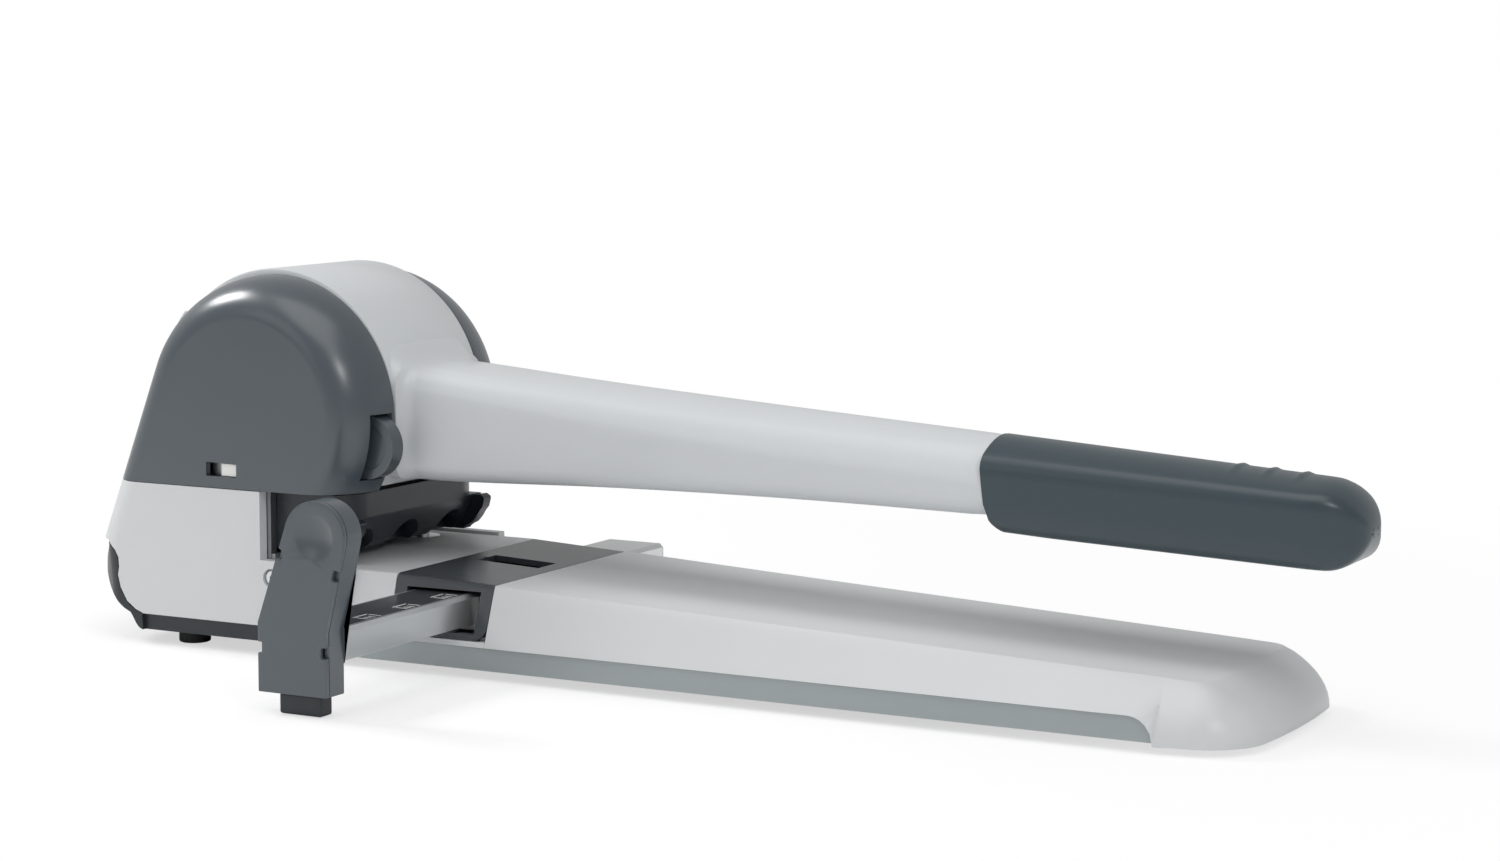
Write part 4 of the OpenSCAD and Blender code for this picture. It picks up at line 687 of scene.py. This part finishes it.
# Heel, in millimetres: the boot and the tray's back follow the head's rounded rear corners
heelSettings = {
    "jointZs": [6, 13.3, 14.7, 18.1, 23.9, 29.3, 33.1, 37.1, 40.2, 43.6],
    "jointYs": [80, 80.7, 84.4, 89.2, 92.6, 93.9, 93.3, 93.6, 95.3, 99.4],
    "centre": 40, "half": 60, "most": 1.1, "pull": 0.6, "power": 1.5,
    "cuts": range(42, 62, 2),
}


def makeHeel(s):
    for node, name, body in (("base_pan", "bootShell", "frame"),
                             ("chip_tray", "trayShell", "tray")):
        bm = weldedCopy(node)
        joinFlatFaces(bm)
        for cut in s["cuts"]:
            for side in (-1, 1):
                cutPlane(bm, (side * cut * mm, 0, 0), (1, 0, 0))
        for vert in bm.verts:
            across = (abs(vert.co.x) / mm - s["centre"]) / (s["half"] - s["centre"])
            joint = spline(s["jointZs"], s["jointYs"], vert.co.z / mm) * mm
            if across > 0 and vert.co.y > joint:
                keep = 1 - s["pull"] * min(across, s["most"]) ** s["power"]
                vert.co.y = joint + (vert.co.y - joint) * keep
        linkPiece(name, bm, "panPlastic", body, node, width=0.0005)


makeHeel(heelSettings)
print("stage: heel")

# Stop face, in millimetres: outline seen from the left, with a thumb dish and four edge notches
stopSettings = {
    "frontX": -161, "backX": -158.62, "head": (-83.3, 72.2), "radius": 14.2,
    "front": (-88.4, 34.5), "rear": (-55.7, 36.5), "low": 8.7, "headSteps": 40,
    "dishRadius": 9.4, "dishDeep": 2.1, "rings": 9, "segments": 64,
    "notchHigh": 4.2, "notchDeep": 2.6, "notchRound": 0.7, "notchWall": 0.75,
    "frontNotch": 57.3, "rearNotch": 64.6, "lowNotch": 26.5,
}


def notchPoints(a, b, height, s, inward):
    # Bite out of the edge from a down to b at the given height
    share = (a[1] - height) / (a[1] - b[1])
    along = Vector((b[0] - a[0], b[1] - a[1])).normalized()
    across = Vector((-along.y, along.x)) * inward
    middle = Vector(a) + (Vector(b) - Vector(a)) * share
    half = along * s["notchHigh"] / 2
    deep = across * s["notchDeep"]
    wall = deep * s["notchWall"]
    turn = along * s["notchRound"]
    return [tuple(point) for point in (
        middle - half, middle - half + wall, middle - half + deep + turn,
        middle + half + deep - turn, middle + half + wall, middle + half)]


def stopOutline(s):
    cy, cz = s["head"]
    r = s["radius"]

    def tangent(point, side):
        # Angle at which a line from the point touches the round head
        away = Vector((point[0] - cy, point[1] - cz))
        return math.atan2(away.y, away.x) + math.acos(r / away.length) * side

    front, rear = s["front"], s["rear"]
    frontAngle = tangent(front, -1)
    rearAngle = tangent(rear, 1)
    if frontAngle < 0:
        frontAngle += math.tau
    arc = []
    for k in range(s["headSteps"] + 1):
        a = rearAngle + (frontAngle - rearAngle) * k / s["headSteps"]
        arc.append((cy + r * math.cos(a), cz + r * math.sin(a)))
    points = arc + notchPoints(arc[-1], front, s["frontNotch"], s, 1) + [front]
    low = s["low"]
    points += notchPoints(front, (front[0], low), s["lowNotch"], s, 1)
    points += [(front[0], low), (rear[0], low)]
    points += notchPoints(rear, (rear[0], low), s["lowNotch"], s, -1)[::-1] + [rear]
    points += notchPoints(arc[0], rear, s["rearNotch"], s, -1)[::-1]
    return points


def makeStopFace(s):
    outline = stopOutline(s)
    bm = bmesh.new()

    def ring(points, x):
        return pointRing(bm, [(x, y, z) for y, z in points])[1]

    back, front = ring(outline, s["backX"]), ring(outline, s["frontX"])
    bmesh.ops.bridge_loops(bm, edges=back + front)
    bmesh.ops.edgeloop_fill(bm, edges=back)
    turns = [k * math.tau / s["segments"] for k in range(s["segments"])]
    sphere = (s["dishRadius"] ** 2 + s["dishDeep"] ** 2) / 2 / s["dishDeep"]
    loops = []
    for k in range(s["rings"]):
        radius = s["dishRadius"] * (1 - k / s["rings"])
        depth = s["dishDeep"] - sphere + math.sqrt(sphere ** 2 - radius ** 2)
        loops.append(ring([(s["head"][0] + radius * math.cos(a),
                            s["head"][1] + radius * math.sin(a)) for a in turns],
                          s["frontX"] + depth))
    for a, b in zip(loops, loops[1:]):
        bmesh.ops.bridge_loops(bm, edges=a + b)
    bmesh.ops.edgeloop_fill(bm, edges=loops[-1])
    bmesh.ops.triangle_fill(bm, use_beauty=True, use_dissolve=False, edges=front + loops[0])
    linkPiece("stopFace", bm, "slatePlastic", "gauge", "stop_cover", width=0.0006)


makeStopFace(stopSettings)
print("stage: side stop")

# Lever, in millimetres: its sections run from the drum at rootY into the grip past gripY
leverSettings = {
    "axis": (26, 104), "drumRadius": 62, "drumWall": 3.5, "drumHalf": 34.3,
    "rootY": -20, "gripY": -305,
    "rootHalf": 29, "gripHalf": 22.5, "rootTop": 126.5, "gripTop": 108.8,
    "low": 76, "arch": 3.2, "ridgeDrop": 9, "corner": 7, "ridge": 9,
    "ways": [0, 0.12, 0.41, 0.71, 1],
    "archShares": [0.3, 0.1, 0.8, 1, 0.7],
    "dropShares": [0.12, 0.2, 0.6, 0.95, 0.95],
    "topFillet": 18, "topFilletY": -43, "sideFillet": 6, "drumInset": 0.3,
    "stations": [-27, -29, -31, -33, -34.5, -36, -37, -38, -39, -40, -41, -42, -43, -44, -46, -49,
                 -53, -58, -65, -74, -85, -100, -118, -138, -160, -183, -206, -230, -254, -278,
                 -296],
    "tongue": [-298, -330], "tongueInset": 0.8,
    "webStart": 76, "webEnd": 205, "hoodStart": 30, "hoodEnd": 209, "webWall": 3.3,
    "webGap": 1, "webOverlap": 0.5, "rimRound": 1.2, "rimCorner": 0.35,
    "shaftRadius": 8, "hubGap": 0.05, "hubRadius": 14, "hubLength": 8.3,
    "rimSteps": 120, "webSteps": 64,
}


def leverParts(s, y):
    # Half width, underside, top and fall of the crown at this place
    way = (s["rootY"] - y) / (s["rootY"] - s["gripY"])
    return (s["rootHalf"] + (s["gripHalf"] - s["rootHalf"]) * way,
            s["low"] + s["arch"] * spline(s["ways"], s["archShares"], way),
            s["rootTop"] + (s["gripTop"] - s["rootTop"]) * way,
            s["ridgeDrop"] * spline(s["ways"], s["dropShares"], way))


def makeLever(s):
    axisY, axisZ = s["axis"]
    wall = s["drumRadius"] - s["drumWall"] / 2
    rise = leverParts(s, s["topFilletY"])[2] + s["topFillet"] - axisZ
    reach = math.sqrt((s["drumRadius"] + s["topFillet"]) ** 2 - rise * rise)
    filletY = axisY - reach
    touch = reach * s["topFillet"] / (s["drumRadius"] + s["topFillet"])
    rings = []
    for y in s["stations"]:
        half, low, top, drop = leverParts(s, y)
        half += arcRise(y + s["drumRadius"] - axisY + s["sideFillet"], s["sideFillet"])
        half = min(half, s["drumHalf"] - s["drumInset"])
        flare = arcRise(min(y - filletY, touch), s["topFillet"])
        ring = bodyRing(half, low, top + flare, drop, s["corner"], s["ridge"])
        rings.append([(x, min(y, axisY - math.sqrt(max(wall ** 2 - (z - axisZ) ** 2, 0))), z)
                      for x, z in ring])
    for y in s["tongue"]:
        half, low, top, drop = leverParts(s, y)
        inset = s["tongueInset"] if y == s["tongue"][-1] else 0
        rings.append([(x, y, z) for x, z in bodyRing(half - inset, low + inset, top - inset, drop,
                                                     s["corner"], s["ridge"])])
    linkPiece("leverBeam", loftRings(rings), "drumPaint", "lever_arm", "lever")


def spinProfile(bm, profile, start, end, steps, axis, whole=False):
    # Sweeps a closed profile of radius and place across round the shaft's line
    a = math.radians(start)
    y, z = math.cos(a), math.sin(a)
    verts, edges = pointRing(bm, [(x, axis[0] + radius * y, axis[1] + radius * z)
                                  for radius, x in profile])
    if not whole:
        bmesh.ops.edgeloop_fill(bm, edges=edges)
    swept = bmesh.ops.spin(bm, geom=verts + edges, cent=(0, axis[0] * mm, axis[1] * mm),
                           axis=(1, 0, 0), dvec=(0, 0, 0), angle=math.radians(end - start),
                           steps=steps, use_merge=whole, use_duplicate=False)
    if not whole:
        last = [item for item in swept["geom_last"] if isinstance(item, bmesh.types.BMEdge)]
        last.sort(key=lambda edge: tuple(edge.verts[0].co + edge.verts[1].co))
        bmesh.ops.edgeloop_fill(bm, edges=last)


def makeDrum(s):
    bm = bmesh.new()
    outer, half = s["drumRadius"], s["drumHalf"]
    inner = outer - s["drumWall"]
    soft, corner = s["rimRound"], s["rimCorner"]
    rim = [(inner, -half), (outer - soft, -half), (outer - corner, corner - half),
           (outer, soft - half), (outer, half - soft), (outer - corner, half - corner),
           (outer - soft, half), (inner, half)]
    spinProfile(bm, rim, s["hoodStart"], s["hoodEnd"], s["rimSteps"], s["axis"])

    def disc(side, near, far, thick):
        # Rectangle between two radii, from the drum's side inwards
        return [(near, side * half), (far, side * half), (far, side * (half - thick)),
                (near, side * (half - thick))]

    for side in (-1, 1):
        web = disc(side, s["shaftRadius"] + s["webGap"], inner + s["webOverlap"], s["webWall"])
        spinProfile(bm, web, s["webStart"], s["webEnd"], s["webSteps"], s["axis"])
        hub = disc(side, s["shaftRadius"] + s["hubGap"], s["hubRadius"], s["hubLength"])
        spinProfile(bm, hub, 0, 360, s["webSteps"], s["axis"], whole=True)
    linkPiece("leverDrum", bm, "drumPaint", "lever_arm", "lever")


makeLever(leverSettings)
makeDrum(leverSettings)

# Grip, in millimetres: a sleeve over the lever's end, with three low ribs and a soft end
gripSettings = {
    "startY": -305, "length": 153.8, "half": 22.8, "startTop": 109.3, "endTop": 99.1,
    "startLow": 72.3, "endLow": 66.3, "ridgeDrop": 8.6, "endDrop": 5.2, "corner": 5, "ridge": 3.2,
    # how far back the sleeve's edge stands, from its foot to its crown
    "edgeShares": [0, 0.12, 0.25, 0.5, 0.75, 1], "edgeBack": [9, 4, 1.6, 0.2, -0.6, 0],
    "edgeFade": 30, "leastRound": 0.3,
    "endLength": 24, "planRound": 20, "topRound": 19, "footRound": 15,
    "ribs": [-404, -417, -430], "ribRise": 0.75, "ribWidth": 2.6, "ribHalf": 9,
    # the ribs fade out over this way at their ends, and stay on this share of the crown's fall
    "ribFade": 1, "ribShare": 0.35,
    # distances of the sections from the sleeve's edge, close together at the ribs and the end
    "frontWays": [0, 0.8, 3, 7, 13, 20, 28, 40, 54, 70, 84],
    "ribsFrom": 92, "ribsStep": 0.9, "ribsCount": 42, "endSteps": 16,
}


def ribLift(s, x, y):
    # How far the nearest rib rises above the sleeve at this place
    away = min(min(abs(y - rib) for rib in s["ribs"]) / s["ribWidth"], 1)
    edge = ramp(s["ribHalf"] + s["ribFade"], s["ribHalf"] - s["ribFade"], abs(x))
    return s["ribRise"] * math.cos(away * math.pi / 2) ** 2 * edge


def makeGrip(s):
    body = s["length"] - s["endLength"]
    ways = s["frontWays"] + [s["ribsFrom"] + i * s["ribsStep"] for i in range(s["ribsCount"])]
    ways += [body + s["endLength"] * math.sin(math.radians(90 * i / s["endSteps"]))
             for i in range(s["endSteps"] + 1)]
    rings = []
    for d in ways:
        way = d / s["length"]
        top = s["startTop"] + (s["endTop"] - s["startTop"]) * way
        low = s["startLow"] + (s["endLow"] - s["startLow"]) * way
        drop = s["ridgeDrop"] + (s["endDrop"] - s["ridgeDrop"]) * way
        half = s["half"]
        into = max(d - body, 0)
        half -= arcRise(into * s["planRound"] / s["endLength"], s["planRound"])
        top -= arcRise(into - s["endLength"] + s["topRound"], s["topRound"])
        low += arcRise(into - s["endLength"] + s["footRound"], s["footRound"])
        drop *= half / s["half"]
        scale = max(half / s["half"], s["leastRound"])
        ring = []
        for x, z in bodyRing(half, low, top, drop, s["corner"] * scale, s["ridge"] * scale):
            height = (z - low) / (top - low)
            back = spline(s["edgeShares"], s["edgeBack"], height) * max(1 - d / s["edgeFade"], 0)
            y = s["startY"] - d - back
            if z > top - drop * s["ribShare"]:
                z += ribLift(s, x, y)
            ring.append((x, y, z))
        rings.append(ring)
    linkPiece("gripSleeve", loftRings(rings), "gripPlastic", "lever_arm", "grip")


makeGrip(gripSettings)
print("stage: lever and grip")

# Clamp springs, in millimetres: coils round the punch pins
springSettings = {"places": (-40, 40), "radius": 5.65, "wire": 0.75, "low": 53, "high": 62.7,
                  "turns": 4.5, "steps": 28, "sides": 8}


def makeSprings(s):
    count = int(s["turns"] * s["steps"])
    angles = [k * math.tau / s["sides"] for k in range(s["sides"])]
    upward = Vector((0, 0, 1))
    for number, x in enumerate(s["places"]):
        rings = []
        for i in range(count + 1):
            way = i / count
            a = way * s["turns"] * math.tau
            z = s["low"] + s["wire"] + (s["high"] - s["low"] - 2 * s["wire"]) * way
            out = Vector((math.cos(a), math.sin(a), 0))
            centre = Vector((x, 0, z)) + out * s["radius"]
            rings.append([centre + (out * math.cos(b) + upward * math.sin(b)) * s["wire"]
                          for b in angles])
        coil = newPiece("clampCoil" + str(number + 1), loftRings(rings), "brightSteel")
        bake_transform(coil)
        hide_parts("clamp_springs")
        softenEdges(coil, 0, join=False)


makeSprings(springSettings)
print("stage: springs")

# Paper format marks on the gauge bar, in millimetres: groups of fine lines on its dark strip
markSettings = {"groups": (-126, -98, -70, -42, -14), "ticks": (0, 2.6, 5.2, 9), "width": 0.5,
                "lengths": (5.5, 3.5, 3.5, 5.5), "frontY": -84, "lineGap": 1.2, "rise": 0.12}


def makeMarks(s):
    top = max(vert.co.z for vert in nodes["bar_scale"].data.vertices) / mm
    bm = bmesh.new()

    def plate(x0, x1, y0, y1):
        made = bmesh.ops.create_cube(bm, size=1)
        for vert in made["verts"]:
            vert.co.x = (x1 if vert.co.x > 0 else x0) * mm
            vert.co.y = (y1 if vert.co.y > 0 else y0) * mm
            vert.co.z = (top + (s["rise"] if vert.co.z > 0 else -s["rise"] / 2)) * mm

    for group in s["groups"]:
        for step, length in zip(s["ticks"], s["lengths"]):
            x = group + step
            plate(x, x + s["width"], s["frontY"], s["frontY"] + length)
        y = s["frontY"] + max(s["lengths"]) + s["lineGap"]
        plate(group, group + s["ticks"][-1] + s["width"], y, y + s["width"])
    linkPiece("scaleMarks", bm, "whitePlastic", "gauge")


makeMarks(markSettings)
print("stage: marks")
